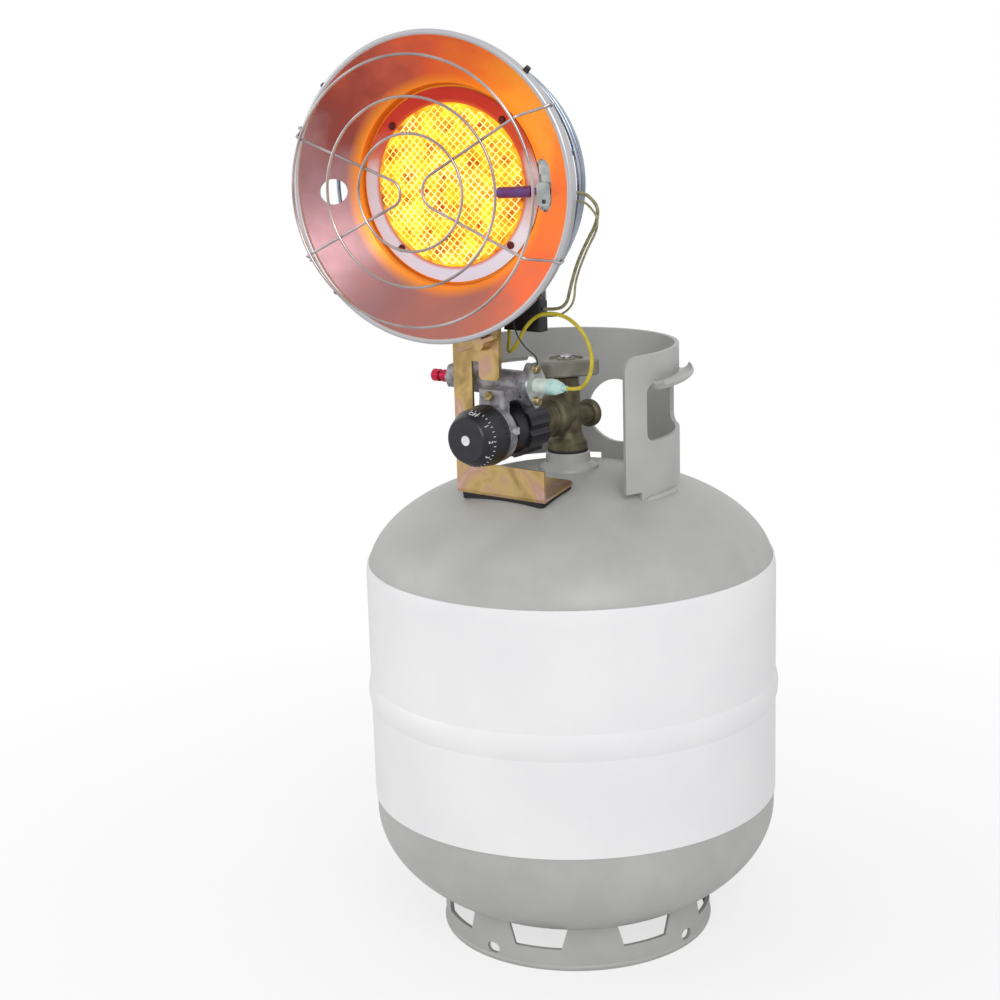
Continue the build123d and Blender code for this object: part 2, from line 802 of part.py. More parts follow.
with BuildPart() as safety_valve_body:
    tube = turned_outline(
        valve_section,
        (0, tube_left),
        (valve_radius - 1, tube_left),
        (valve_radius, tube_left + 1),
        (valve_radius, flange_left - 4),
        (valve_radius + 2, flange_left + 1),
        (0, flange_left + 1),
    )
    revolve(tube, valve_axis)
    with BuildSketch(valve.offset(flange_left)):
        add(lugged_plate(0))
    extrude(amount=flange_right - flange_left)
    # Neck over the regulator, and the boss under the mixing tube
    with BuildSketch(Plane.XY.offset(neck_join)):
        with Locations((0, -81)):
            RectangleRounded(neck_width, 24, 3)
    extrude(amount=8.5)
    with BuildSketch(Plane.XY.offset(valve_z)):
        with Locations((mixing_x, mixing_y)):
            Circle(mixing_radius)
    extrude(amount=jet_seat - valve_z)
    with BuildSketch(valve.offset(tube_left)):
        Circle(valve_bore)
    extrude(amount=flange_right - tube_left, mode=Mode.SUBTRACT)
    with BuildSketch(gas_way.offset(neck_join - outlet_height)):
        Circle(2.0)
    extrude(amount=6, mode=Mode.SUBTRACT)
    with BuildSketch(Plane.XY.offset(valve_z)):
        with Locations((mixing_x, mixing_y)):
            Circle(2.0)
    extrude(amount=20, mode=Mode.SUBTRACT)
    with BuildSketch(valve.offset(flange_left - 0.5)):
        with Locations((0, lug_spacing), (0, -lug_spacing)):
            Circle(1.6)
    extrude(amount=20, mode=Mode.SUBTRACT)
save(safety_valve_body, "safety_valve_body")

plate_sheet = 1.5
terminal_radius, terminal_end = 5.2, 44.5
crimp_start = 33.0

with BuildPart() as valve_flange_plate:
    with BuildSketch(valve.offset(flange_right)):
        add(lugged_plate(0.8))
        Circle(2.6, mode=Mode.SUBTRACT)
        with Locations((0, lug_spacing), (0, -lug_spacing)):
            Circle(1.6, mode=Mode.SUBTRACT)
    extrude(amount=plate_sheet)
save(valve_flange_plate, "valve_flange_plate")

with BuildPart() as flange_screws:
    with BuildSketch(valve.offset(flange_left - 0.5)):
        with Locations((0, lug_spacing), (0, -lug_spacing)):
            Circle(1.6)
    extrude(amount=flange_right + plate_sheet - flange_left + 0.5)
    with BuildSketch(valve.offset(flange_right + plate_sheet)):
        with Locations((0, lug_spacing), (0, -lug_spacing)):
            Circle(3.2)
    extrude(amount=2.6)
    chamfer(flange_screws.faces().sort_by(Axis.X)[-2:].edges(), length=0.6)
    with BuildSketch(valve.offset(flange_right + plate_sheet + 1.8)):
        with Locations((0, lug_spacing), (0, -lug_spacing)):
            Rectangle(7, 0.9, rotation=35)
    extrude(amount=2, mode=Mode.SUBTRACT)
save(flange_screws, "flange_screws")

magnet_left = -19.5

with BuildPart() as magnet_unit:
    unit = turned_outline(
        valve_section,
        (0, magnet_left),
        (5.2, magnet_left),
        (5.2, magnet_left + 1.5),
        (2.0, magnet_left + 2),
        (2.0, magnet_left + 9),
        (valve_bore - 0.1, magnet_left + 9),
        (valve_bore - 0.1, flange_right),
        (2.5, flange_right),
        (2.5, 30),
        (0, 30),
    )
    revolve(unit, valve_axis)
save(magnet_unit, "magnet_unit")

with BuildPart() as terminal_sleeve:
    sleeve = turned_outline(
        valve_section,
        (2.6, flange_right + plate_sheet),
        (terminal_radius, flange_right + plate_sheet),
        (terminal_radius, crimp_start),
        (2.6, crimp_start),
    )
    revolve(sleeve, valve_axis)
save(terminal_sleeve, "terminal_sleeve")

# The lead's push-on terminal in its insulating boot
with BuildPart() as wire_terminal:
    boot = turned_outline(
        valve_section,
        (0, 30.5),
        (2.5, 30.5),
        (2.5, crimp_start),
        (terminal_radius + 0.4, crimp_start),
        (terminal_radius + 0.4, terminal_end - 6),
        (3.4, terminal_end),
        (1.9, terminal_end),
        (1.9, terminal_end + 4),
        (0, terminal_end + 4),
    )
    revolve(boot, valve_axis)
save(wire_terminal, "wire_terminal")

# Pilot screw in the neck's front face
with BuildPart() as pilot_screw:
    with BuildSketch(Plane(origin=(0, -93, 431.8), x_dir=(1, 0, 0), z_dir=(0, -1, 0))):
        Circle(3.4)
    extrude(amount=3)
    fillet(pilot_screw.edges().group_by(Axis.Y)[0], radius=0.8)
    with BuildSketch(Plane(origin=(0, -95.2, 431.8), x_dir=(1, 0, 0), z_dir=(0, -1, 0))):
        Rectangle(8, 0.9, rotation=30)
    extrude(amount=2, mode=Mode.SUBTRACT)
save(pilot_screw, "pilot_screw")

# Push button of the safety valve, with its guide and return spring
button_left, button_right = -73.5, -58.0
button_radius, plunger_radius = 4.6, 2.4
plunger_tip = -25.0
button_travel = 5.0
bushing_left = -57.5

with BuildPart() as red_button:
    push = turned_outline(
        valve_section,
        (0, button_left),
        (3.6, button_left),
        (button_radius, button_left + 1),
        (button_radius, button_left + 6.5),
        (3.3, button_left + 7.5),
        (3.3, button_left + 9),
        (button_radius, button_left + 10),
        (button_radius, button_right),
        (plunger_radius, button_right),
        (plunger_radius, -40),
        (5.0, -40),
        (5.0, -38.5),
        (plunger_radius, -38.5),
        (plunger_radius, plunger_tip),
        (0, plunger_tip),
    )
    revolve(push, valve_axis)
    with BuildSketch(valve.offset(button_left - 1)):
        with PolarLocations(button_radius + 0.5, 14):
            Circle(0.8)
    extrude(amount=button_right - button_left - 1, mode=Mode.SUBTRACT)
save(red_button, "red_button")

with BuildPart() as button_bushing:
    with BuildSketch(valve.offset(bushing_left)):
        RegularPolygon(7.0, 6, major_radius=False)
    extrude(amount=tube_left - bushing_left)
    chamfer(button_bushing.faces().sort_by(Axis.X)[0].edges(), length=0.8)
    with BuildSketch(valve.offset(tube_left)):
        Circle(valve_bore)
    extrude(amount=6)
    with BuildSketch(valve.offset(bushing_left)):
        Circle(button_radius + 0.3)
    extrude(amount=button_travel + 1, mode=Mode.SUBTRACT)
    with BuildSketch(valve.offset(bushing_left)):
        Circle(plunger_radius + running_gap)
    extrude(amount=20, mode=Mode.SUBTRACT)
save(button_bushing, "button_bushing")

# The spring is drawn at its pressed length, clear of the plunger's collar at every depth
with BuildPart() as button_spring:
    with BuildLine() as turns:
        Helix(pitch=1.7, height=10.2, radius=4.2, center=(-31.4, valve_y, valve_z), direction=(1, 0, 0))
    with BuildSketch(Plane(origin=turns.line @ 0, z_dir=turns.line % 0)):
        Circle(0.5)
    sweep(path=turns.line, is_frenet=True)
save(button_spring, "button_spring")

# Bracket --------------------------------------------------------------------------------------

foot_bottom = 354.7
lip_top, strap_top = 378.0, 482.0
ear_bottom, ear_right = 453.0, 0.5
slide_travel = 8.0
bolt_radius = 3.0
foot_plane = Plane(
    origin=(0, foot_front_y, foot_bottom), x_dir=(1, 0, 0), z_dir=direction(-90, 90 - foot_slope)
)
foot_depth = (foot_back_y - foot_front_y) / math.cos(math.radians(foot_slope))
foot_middle_x = (foot_left_x + foot_right_x) / 2
foot_width = foot_right_x - foot_left_x

with BuildPart() as support_bracket:
    with BuildSketch(sheet_front):
        with BuildLine():
            Polyline(
                (foot_left_x, foot_bottom),
                (foot_right_x, foot_bottom),
                (foot_right_x, lip_top),
                (foot_left_x + strap_width, lip_top),
                (foot_left_x + strap_width, ear_bottom),
                (ear_right, ear_bottom),
                (ear_right, strap_top),
                (foot_left_x, strap_top),
                close=True,
            )
        make_face()
        with Locations((wing_bolt_x, wing_bolt_z - slide_travel / 2)):
            SlotCenterToCenter(slide_travel, 2 * bolt_radius + 0.6, rotation=90, mode=Mode.SUBTRACT)
    extrude(amount=-bracket_sheet)
    with BuildSketch(foot_plane) as base_plan:
        with Locations((foot_middle_x, foot_depth / 2)):
            Rectangle(foot_width, foot_depth)
        fillet(base_plan.vertices().group_by(Axis.Y)[-1], radius=5)
    extrude(amount=bracket_sheet)
save(support_bracket, "support_bracket")

pad_gap = 0.3
pad_margin = 2.5
pad_dome = revolve(
    shell_outline(body_radius + pad_gap, upper_dome_start, upper_dome_depth + pad_gap, 1), Axis.Z
)

with BuildPart() as foot_pad:
    with BuildSketch(foot_plane) as pad_plan:
        with Locations((foot_middle_x, foot_depth / 2)):
            Rectangle(foot_width - 2 * pad_margin, foot_depth)
        fillet(pad_plan.vertices(), radius=4)
    extrude(amount=-8)
    add(pad_dome, mode=Mode.SUBTRACT)
    add(support_bracket.part, mode=Mode.SUBTRACT)
save(foot_pad, "foot_pad")

# The plate that hangs from the burner, in front of the strap, and the bolt that clamps the two
plate_gap = 0.1
hanger_front = Plane(
    origin=(0, foot_front_y - plate_gap, 0), x_dir=(1, 0, 0), z_dir=(0, -1, 0)
)
hanger_left, hanger_bottom, shelf_top = -18.0, 440.5, 500.0
shelf_left = -12.0
cup_back = -72.0
tab_front, tab_back = -54.0, -52.0

with BuildPart() as cup_space:
    with BuildSketch(head.offset(cup_back - 20)):
        Circle(cup_radius)
    extrude(amount=80)

with BuildPart() as head_bracket:
    with BuildSketch(hanger_front) as hanger:
        with Locations(((hanger_left + ear_right) / 2, (hanger_bottom + shelf_top) / 2)):
            Rectangle(ear_right - hanger_left, shelf_top - hanger_bottom)
        fillet(hanger.vertices().group_by(Axis.Z)[0], radius=4)
        with Locations((wing_bolt_x, wing_bolt_z)):
            Circle(bolt_radius + running_gap, mode=Mode.SUBTRACT)
    extrude(amount=bracket_sheet)
    with BuildSketch(Plane.XY.offset(shelf_top - bracket_sheet)):
        with Locations(((shelf_left + ear_right) / 2, (foot_front_y + tab_back - 1) / 2)):
            Rectangle(ear_right - shelf_left, tab_back - foot_front_y + 1)
    extrude(amount=bracket_sheet)
    with BuildSketch(Plane.XY.offset(shelf_top - 1)):
        with Locations(((shelf_left + ear_right) / 2, (tab_front + tab_back) / 2)):
            Rectangle(ear_right - shelf_left, tab_back - tab_front)
    extrude(amount=45)
    add(cup_space.part, mode=Mode.SUBTRACT)
save(head_bracket, "head_bracket")

bolt_head_front = foot_front_y - plate_gap - bracket_sheet
nut_front_y, nut_thickness = foot_front_y + bracket_sheet + running_gap, 5.0
bolt_end = nut_front_y + nut_thickness + 1.5
hub_length, hub_taper = 8.0, 8.0
wing_half_span, wing_sheet, wing_tilt = 17.5, 3.0, 20.0
bolt_face = Plane(origin=(wing_bolt_x, bolt_head_front, wing_bolt_z), x_dir=(1, 0, 0), z_dir=(0, -1, 0))
wing_plane = Plane(origin=bolt_face.origin, x_dir=direction(0, wing_tilt), z_dir=direction(0, wing_tilt - 90))

with BuildPart() as wing_bolt:
    with BuildSketch(bolt_face.offset(bolt_head_front - bolt_end)):
        Circle(bolt_radius)
    extrude(amount=bolt_end - bolt_head_front)
    with BuildSketch(bolt_face):
        Circle(6.2)
    extrude(amount=hub_length, taper=hub_taper)
    # Two cast wings, leaning outwards
    with BuildSketch(wing_plane.offset(-wing_sheet / 2)):
        with BuildLine():
            right = Polyline(
                (0, 1), (5, 2), (wing_half_span, 6), (wing_half_span, 11.5), (8, 9), (0, 7.5)
            )
            mirror(right, about=Plane.YZ)
        make_face()
    extrude(amount=wing_sheet)
save(wing_bolt, "wing_bolt")

nut_face = Plane(origin=(wing_bolt_x, nut_front_y, wing_bolt_z), x_dir=(-1, 0, 0), z_dir=(0, 1, 0))

with BuildPart() as bolt_nut:
    with BuildSketch(nut_face):
        RegularPolygon(5.0, 6, major_radius=False)
        Circle(bolt_radius + running_gap, mode=Mode.SUBTRACT)
    extrude(amount=nut_thickness)
save(bolt_nut, "bolt_nut")

# Burner ---------------------------------------------------------------------------------------

jet_top = 458.0
mixing_top = 532.0
air_hole_height, air_hole_radius = 463.0, 2.6
mixing_spot = (mixing_x, mixing_y)

with BuildPart() as gas_jet:
    with BuildSketch(Plane.XY.offset(jet_seat)):
        with Locations(mixing_spot):
            RegularPolygon(3.6, 6, major_radius=False)
    extrude(amount=4)
    with BuildSketch(Plane.XY.offset(jet_seat + 4)):
        with Locations(mixing_spot):
            Circle(2.6)
    extrude(amount=jet_top - jet_seat - 4, taper=8)
    with BuildSketch(Plane.XY.offset(jet_seat)):
        with Locations(mixing_spot):
            Circle(0.4)
    extrude(amount=20, mode=Mode.SUBTRACT)
save(gas_jet, "gas_jet")

with BuildPart() as mixing_tube:
    with BuildSketch(Plane.XY.offset(jet_seat)):
        with Locations(mixing_spot):
            Circle(mixing_radius)
            Circle(mixing_radius - mixing_wall, mode=Mode.SUBTRACT)
    extrude(amount=mixing_top - jet_seat)
    for turn in (0, 90):
        across = Plane(
            origin=(mixing_x, mixing_y, air_hole_height), x_dir=(0, 0, 1), z_dir=direction(turn)
        )
        with BuildSketch(across):
            Circle(air_hole_radius)
        extrude(amount=2 * mixing_radius, both=True, mode=Mode.SUBTRACT)
save(mixing_tube, "mixing_tube")

dish_back = -36.0
sheet = 1.2
cup_wall = 1.0
cup_flange = 66.0
screw_circle_radius, burner_screw_radius = 61.0, 1.5

with BuildPart() as burner_cup:
    cup = turned_outline(
        head_section,
        (cup_radius - cup_wall, dish_back),
        (cup_flange, dish_back),
        (cup_flange, dish_back - cup_wall),
        (cup_radius, dish_back - cup_wall),
        (cup_radius, cup_back + 4),
        (cup_radius - 4, cup_back),
        (0, cup_back),
        (0, cup_back + cup_wall),
        (cup_radius - 4.4, cup_back + cup_wall),
        (cup_radius - cup_wall, cup_back + 4.4),
    )
    revolve(cup, head_axis)
    with BuildSketch(Plane.XY.offset(jet_seat)):
        with Locations(mixing_spot):
            Circle(mixing_radius)
    extrude(amount=mixing_top - jet_seat, mode=Mode.SUBTRACT)
    with BuildSketch(head.offset(dish_back - 2)):
        with PolarLocations(screw_circle_radius, 4, start_angle=45):
            Circle(burner_screw_radius)
    extrude(amount=4, mode=Mode.SUBTRACT)
save(burner_cup, "burner_cup")

plate_depth = -45.0

with BuildPart() as burner_plate:
    with BuildSketch(head.offset(plate_depth)):
        Circle(cup_radius - cup_wall)
        for ring in range(1, 6):
            with PolarLocations(9.5 * ring, 6 * ring):
                Circle(2.2, mode=Mode.SUBTRACT)
    extrude(amount=1.2)
save(burner_plate, "burner_plate")

mesh_radius, mesh_flange = 57.0, 59.0
mesh_back, mesh_sheet, mesh_rise = -34.8, 0.6, 4.0

with BuildPart() as burner_mesh:
    pressing = turned_outline(
        head_section,
        (0, mesh_back + mesh_rise),
        (0, mesh_back + mesh_rise + mesh_sheet),
        (20, mesh_back + mesh_rise + mesh_sheet),
        (42, mesh_back + 0.6 * mesh_rise + mesh_sheet),
        (mesh_radius, mesh_back + mesh_sheet),
        (mesh_flange, mesh_back + mesh_sheet),
        (mesh_flange, mesh_back),
        (mesh_radius, mesh_back),
        (42, mesh_back + 0.6 * mesh_rise),
        (20, mesh_back + mesh_rise),
    )
    revolve(pressing, head_axis)
save(burner_mesh, "burner_mesh")

ring_inner, ring_outer, ring_back = 57.3, 68.0, mesh_back + mesh_sheet
ring_front = ring_back + 1.0

with BuildPart() as burner_ring:
    with BuildSketch(head.offset(ring_back)):
        Circle(ring_outer)
        Circle(ring_inner, mode=Mode.SUBTRACT)
        with PolarLocations(screw_circle_radius, 4, start_angle=45):
            Circle(burner_screw_radius, mode=Mode.SUBTRACT)
    extrude(amount=ring_front - ring_back)
save(burner_ring, "burner_ring")

with BuildPart() as burner_screws:
    with BuildSketch(head.offset(dish_back - 3)):
        with PolarLocations(screw_circle_radius, 4, start_angle=45):
            Circle(burner_screw_radius)
    extrude(amount=ring_front - dish_back + 3)
    with BuildSketch(head.offset(ring_front)):
        with PolarLocations(screw_circle_radius, 4, start_angle=45):
            Circle(2.8)
    extrude(amount=1.8, taper=20)
save(burner_screws, "burner_screws")

# Reflector ------------------------------------------------------------------------------------

dish_mouth = 104.5
flange_inner, flange_outer, flange_depth = 105.5, 106.7, -8.0
bead_radius = 2.2
cone_foot, cone_foot_depth = 71.0, -28.0
cone_slope = -cone_foot_depth / (dish_mouth - cone_foot)
back_foot, back_foot_depth = cone_foot + 0.76, cone_foot_depth - 0.93
annulus_depth = dish_back + sheet
see_through_x, see_through_width, see_through_height = -85.5, 15.6, 18.0
slot_x, slot_y, slot_width, slot_height = 76.0, -2.0, 16.0, 36.0
rim_screw_angles = (137.0, 44.5, -45.0, -140.0)
rim_screw_depth, rim_screw_radius = -5.0, 1.4
rim_screw_root = flange_inner - 3.0   # the shank's inner end, short of the cone
rim_head_radius, rim_head_height = 2.4, 3.8

with BuildPart() as reflector:
    dish = turned_outline(
        head_section,
        (dish_mouth, 0),
        (cone_foot, cone_foot_depth),
        (cone_foot - 1.6, annulus_depth),
        (cup_radius - cup_wall, annulus_depth),
        (cup_radius - cup_wall, dish_back),
        (cone_foot - 0.6, dish_back),
        (back_foot, back_foot_depth),
        (flange_inner, back_foot_depth + (flange_inner - back_foot) * cone_slope),
        (flange_inner, flange_depth),
        (flange_outer, flange_depth),
        (flange_outer, 0),
    )
    revolve(dish, head_axis)
    with BuildSketch(head_section):
        with Locations((flange_inner, 0)):
            Circle(bead_radius)
    revolve(axis=head_axis)
    with BuildSketch(head.offset(2 * dish_back)):
        with Locations((see_through_x, 0)):
            Ellipse(see_through_width / 2, see_through_height / 2)
        with Locations((slot_x, slot_y)):
            SlotOverall(slot_height, slot_width, rotation=90)
        with PolarLocations(screw_circle_radius, 4, start_angle=45):
            Circle(burner_screw_radius)
    extrude(amount=-2 * dish_back, mode=Mode.SUBTRACT)
    for turn in rim_screw_angles:
        hole = Plane(origin=in_head(0, 0, rim_screw_depth), x_dir=head.z_dir, z_dir=spoke(turn))
        with BuildSketch(hole.offset(rim_screw_root)):
            Circle(rim_screw_radius)
        extrude(amount=flange_outer + bead_radius - rim_screw_root, mode=Mode.SUBTRACT)
save(reflector, "reflector")

with BuildPart() as rim_screws:
    for turn in rim_screw_angles:
        shank = Plane(origin=in_head(0, 0, rim_screw_depth), x_dir=head.z_dir, z_dir=spoke(turn))
        with BuildSketch(shank.offset(rim_screw_root)):
            Circle(rim_screw_radius)
        extrude(amount=flange_outer - rim_screw_root)
        with BuildSketch(shank.offset(flange_outer)):
            Circle(rim_head_radius)
        extrude(amount=rim_head_height, taper=8)
save(rim_screws, "rim_screws")

weld_bite = 0.6               # how far two wires sink into each other where they are welded
grille_wire = 1.0
grille_rings = (39.6, 64.1, 91.6)
leg_depth = grille_reach - 2 * grille_wire + weld_bite
# Each pair of legs meets in a rounded V: rim end, kink at the outer ring, where the legs would meet, bend
leg_pairs = (
    ((-95.5, 45.2), (-85.9, 41.1), 5.8, 9.5),
    ((92.5, 51.0), (82.0, 46.6), -5.4, 12.8),
)
hook_reach, hook_back = 109.5, -6.5


def bend(points, radii, wire):
    """A round wire along straight runs and arcs, added to the part that is being built."""
    with BuildLine() as route:
        FilletPolyline(*points, radius=radii)
    with BuildSketch(Plane(origin=route.line @ 0, z_dir=route.line % 0)) as end:
        Circle(wire)
    return sweep(end.sketch, path=route.line, mode=Mode.PRIVATE)


def hook(x, y):
    """The end of a leg over the rim: up to the rim's crest, over it and down behind it."""
    reach = math.hypot(x, y)
    crest, over, down = 105.0 / reach, hook_reach / reach, (flange_outer + grille_wire) / reach
    return [
        in_head(x * down, y * down, hook_back),
        in_head(x * over, y * over, 1.8),
        in_head(x * crest, y * crest, 4.8),
    ]


with BuildPart() as front_grille:
    for radius in grille_rings:
        with BuildSketch(head_section):
            with Locations((radius, grille_reach)):
                Circle(grille_wire)
        revolve(axis=head_axis)
    for (rim_x, rim_y), (kink_x, kink_y), meet_x, bend_radius in leg_pairs:
        top_leg = hook(rim_x, rim_y) + [in_head(kink_x, kink_y, leg_depth)]
        low_leg = hook(rim_x, -rim_y) + [in_head(kink_x, -kink_y, leg_depth)]
        corners = top_leg + [in_head(meet_x, 0, leg_depth)] + low_leg[::-1]
        add(bend(corners, [2, 2, 5, bend_radius, 5, 2, 2], grille_wire))
save(front_grille, "front_grille")

guard_wire = 1.5
guard_rings = ((95.0, -40.0), (92.0, -52.0), (88.0, -64.0), (83.0, -76.0))
guard_ribs = (52.0, 12.0, -51.0, 105.0, 155.0, 231.0)
guard_start, guard_span = -53.0, 286.0
rib_inset = 2 * guard_wire - weld_bite

with BuildPart() as rear_guard:
    for radius, depth in guard_rings:
        with BuildLine(head.offset(depth)) as arc:
            CenterArc((0, 0), radius, guard_start, guard_span)
        with BuildSketch(Plane(origin=arc.line @ 0, z_dir=arc.line % 0)):
            Circle(guard_wire)
        sweep(path=arc.line)
    for turn in guard_ribs:
        stations = [(flange_inner - guard_wire, rim_screw_depth)]
        stations += [(radius - rib_inset, depth) for radius, depth in guard_rings]
        stations += [(72, cup_back - 10), (46, cup_back - guard_wire), (24, cup_back - guard_wire)]
        corners = [in_head(0, 0, depth) + spoke(turn) * reach for reach, depth in stations]
        add(bend(corners, [20, 20, 20, 5, 5, 10], guard_wire))
save(rear_guard, "rear_guard")

# Flame sensing --------------------------------------------------------------------------------

probe_y, probe_depth = -6.0, -25.0
probe_tip, probe_shoulder, probe_tail, probe_end = 40.0, 66.0, 87.0, 97.0
probe_radius, probe_head_radius = 2.4, 4.0
lead_block_y = -10.5
probe = Plane(origin=in_head(0, probe_y, probe_depth), x_dir=head.y_dir, z_dir=head.x_dir)

with BuildPart() as thermocouple:
    with BuildSketch(probe.offset(probe_tip)):
        Circle(probe_head_radius)
    extrude(amount=probe_shoulder - probe_tip)
    fillet(thermocouple.faces().sort_by(Axis(probe.origin, probe.z_dir))[0].edges(), radius=1.5)
    with BuildSketch(probe.offset(probe_shoulder)):
        Circle(probe_radius)
    extrude(amount=probe_tail - probe_shoulder)
    with BuildSketch(probe.offset(probe_tail)):
        with Locations((lead_block_y - probe_y, 0)):
            RectangleRounded(12, 7, 2)
    extrude(amount=probe_end - probe_tail)
save(thermocouple, "thermocouple")

holder_back, holder_front = -29.5, -28.3
holder_x, holder_width, holder_height, holder_foot = slot_x + 2, 12.0, 46.0, 4.0
foot_rise = (holder_height - holder_foot) / 2
clip_front, holder_screw_radius = -21.5, 1.6
saddle_width, saddle_height = 10.0, 16.0
tongue_y, tongue_width, tongue_height, tongue_rise = 9.0, 8.0, 7.0, 2.5

with BuildPart() as thermocouple_bracket:
    with BuildSketch(head.offset(holder_back)):
        with Locations((holder_x, slot_y)):
            Rectangle(holder_width, holder_height)
    extrude(amount=holder_front - holder_back)
    with BuildSketch(head.offset(holder_front)):
        with Locations((holder_x, slot_y + foot_rise), (holder_x, slot_y - foot_rise)):
            Rectangle(holder_width, holder_foot)
    extrude(amount=20)
    behind_dish = turned_outline(
        head_section,
        (back_foot, back_foot_depth),
        (back_foot, 30),
        (back_foot + 60, 30),
        (back_foot + 60, back_foot_depth + 60 * cone_slope),
    )
    revolve(behind_dish, head_axis, mode=Mode.SUBTRACT)
    # Saddle round the probe, with its screw hole, and a raised tongue above
    with BuildSketch(head.offset(holder_front)):
        with Locations((slot_x, probe_y - 2)):
            RectangleRounded(saddle_width, saddle_height, 3)
        with Locations((slot_x, probe_y - 7)):
            Circle(holder_screw_radius, mode=Mode.SUBTRACT)
    extrude(amount=clip_front - holder_front)
    with BuildSketch(head.offset(holder_front)):
        with Locations((slot_x, tongue_y)):
            Rectangle(tongue_width, tongue_height)
    extrude(amount=tongue_rise)
    with BuildSketch(probe.offset(probe_shoulder)):
        Circle(probe_radius)
    extrude(amount=probe_tail - probe_shoulder, mode=Mode.SUBTRACT)
save(thermocouple_bracket, "thermocouple_bracket")

switch_left, switch_right = -10.0, 23.0
switch_front, switch_back = -62.0, tab_back
switch_bottom, switch_top = 474.5, 497.0
switch_screw_x, switch_screw_z = 13.0, 501.0

with BuildPart() as tilt_switch:
    with BuildSketch(Plane.XY.offset(switch_bottom)):
        with Locations(((switch_left + switch_right) / 2, (switch_front + switch_back) / 2)):
            RectangleRounded(switch_right - switch_left, switch_back - switch_front, 1.5)
    extrude(amount=switch_top - switch_bottom)
    chamfer(tilt_switch.faces().sort_by(Axis.Z)[-1].edges(), length=0.8)
save(tilt_switch, "tilt_switch")

bracket_bottom, bracket_top, bracket_right, bracket_corner = 480.0, 508.0, 21.0, 4.0
stud = Plane(origin=(switch_screw_x, switch_back, switch_screw_z), x_dir=(1, 0, 0), z_dir=(0, -1, 0))

with BuildPart() as tilt_switch_bracket:
    with BuildSketch(Plane(origin=(0, switch_back, 0), x_dir=(-1, 0, 0), z_dir=(0, 1, 0))):
        with BuildLine():
            Polyline(
                (-shelf_left, bracket_bottom),
                (-bracket_right, bracket_bottom),
                (-bracket_right, bracket_top - bracket_corner),
                (bracket_corner - bracket_right, bracket_top),
                (-shelf_left, bracket_top),
                close=True,
            )
        make_face()
    extrude(amount=sheet)
    # The stud that the wire clip was screwed to
    with BuildSketch(stud):
        Circle(3.0)
    extrude(amount=2.2, taper=12)
save(tilt_switch_bracket, "tilt_switch_bracket")

# Leads ----------------------------------------------------------------------------------------


def bend_radii(points):
    """An arc as large as its two runs allow, for every corner of a lead."""
    corners = [Vector(*point) for point in points]
    radii = []
    for before, corner, after in zip(corners, corners[1:], corners[2:]):
        half_turn = (corner - before).get_angle(after - corner) / 2
        shorter = min((corner - before).length, (after - corner).length)
        radii.append(0.45 * shorter / math.tan(math.radians(half_turn)))
    return radii


lead_routes = {
    # From under the tilt switch to the magnet unit's terminal
    "yellow_wire": (
        2.8,
        [
            (-8.5, -57, switch_bottom), (-8.5, -57, 466.5), (-7, -61, 459), (0, -66.5, 459.5),
            (7, -67.5, 467), (13.5, -67.5, 478), (24, -67.5, 487.5), (38, -67.5, 490.5), (52, -67, 487.5),
            (63.5, -67, 479), (70, -66.5, 466.5), (70.5, -66, 453.5), (65.5, -66, 442.5),
            (58.5, valve_y, valve_z), (terminal_end + 4, valve_y, valve_z),
        ],
    ),
    # From the thermocouple's block to the side of the tilt switch
    "thermocouple_lead": (
        2.4,
        [
            in_head(probe_end, -8, probe_depth), in_head(probe_end + 7, -8, probe_depth),
            (79, -74.5, 571.2), (83.1, -73, 564.4), (79.4, -71, 554), (70.8, -68.5, 543.3),
            (61.9, -66, 531), (54.8, -63.5, 518.6), (48.4, -60.5, 505.3), (44.2, -58, 496.3),
            (35.5, -57, 490.8), (switch_right, -57, 490.8),
        ],
    ),
    "switch_lead": (
        1.6,
        [
            in_head(probe_end, -13.5, probe_depth), in_head(probe_end + 6, -13.5, probe_depth),
            (79, -77.5, 566.6), (84.7, -76.5, 559.4), (83, -75, 550.6), (73.1, -72, 538.1),
            (64.4, -69, 525.1), (57.2, -66, 511.9), (54.4, -63, 500.8), (48.8, -61, 493),
            (36, -59, 486), (switch_right, -59, 486),
        ],
    ),
    # From the tilt switch's front to the upper screw of the valve's end plate
    "earth_lead": (
        1.1,
        [
            (7, switch_front, 491), (7, -68, 491), (6.5, -72, 485), (8.5, -72, 475), (14, -71, 466.5),
            (20, -69, 460.5), (22.8, valve_y, 457.5), (22.8, valve_y, 451.8),
        ],
    ),
}

for name, (diameter, points) in lead_routes.items():
    radii = bend_radii(points)
    with BuildPart() as lead:
        with BuildLine() as route:
            FilletPolyline(*points, radius=radii)
        with BuildSketch(Plane(origin=route.line @ 0, z_dir=route.line % 0)):
            Circle(diameter / 2)
        sweep(path=route.line)
    length = sum(edge.length for edge in route.edges())
    print(name, "length", round(length, 1), "radii", [round(radius, 1) for radius in radii])
    print(name, "volume", round(lead.part.volume), "from length", round(math.pi * diameter**2 / 4 * length))
    save(lead, name)
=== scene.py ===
import math

import bpy
from mathutils import Matrix, Quaternion, Vector


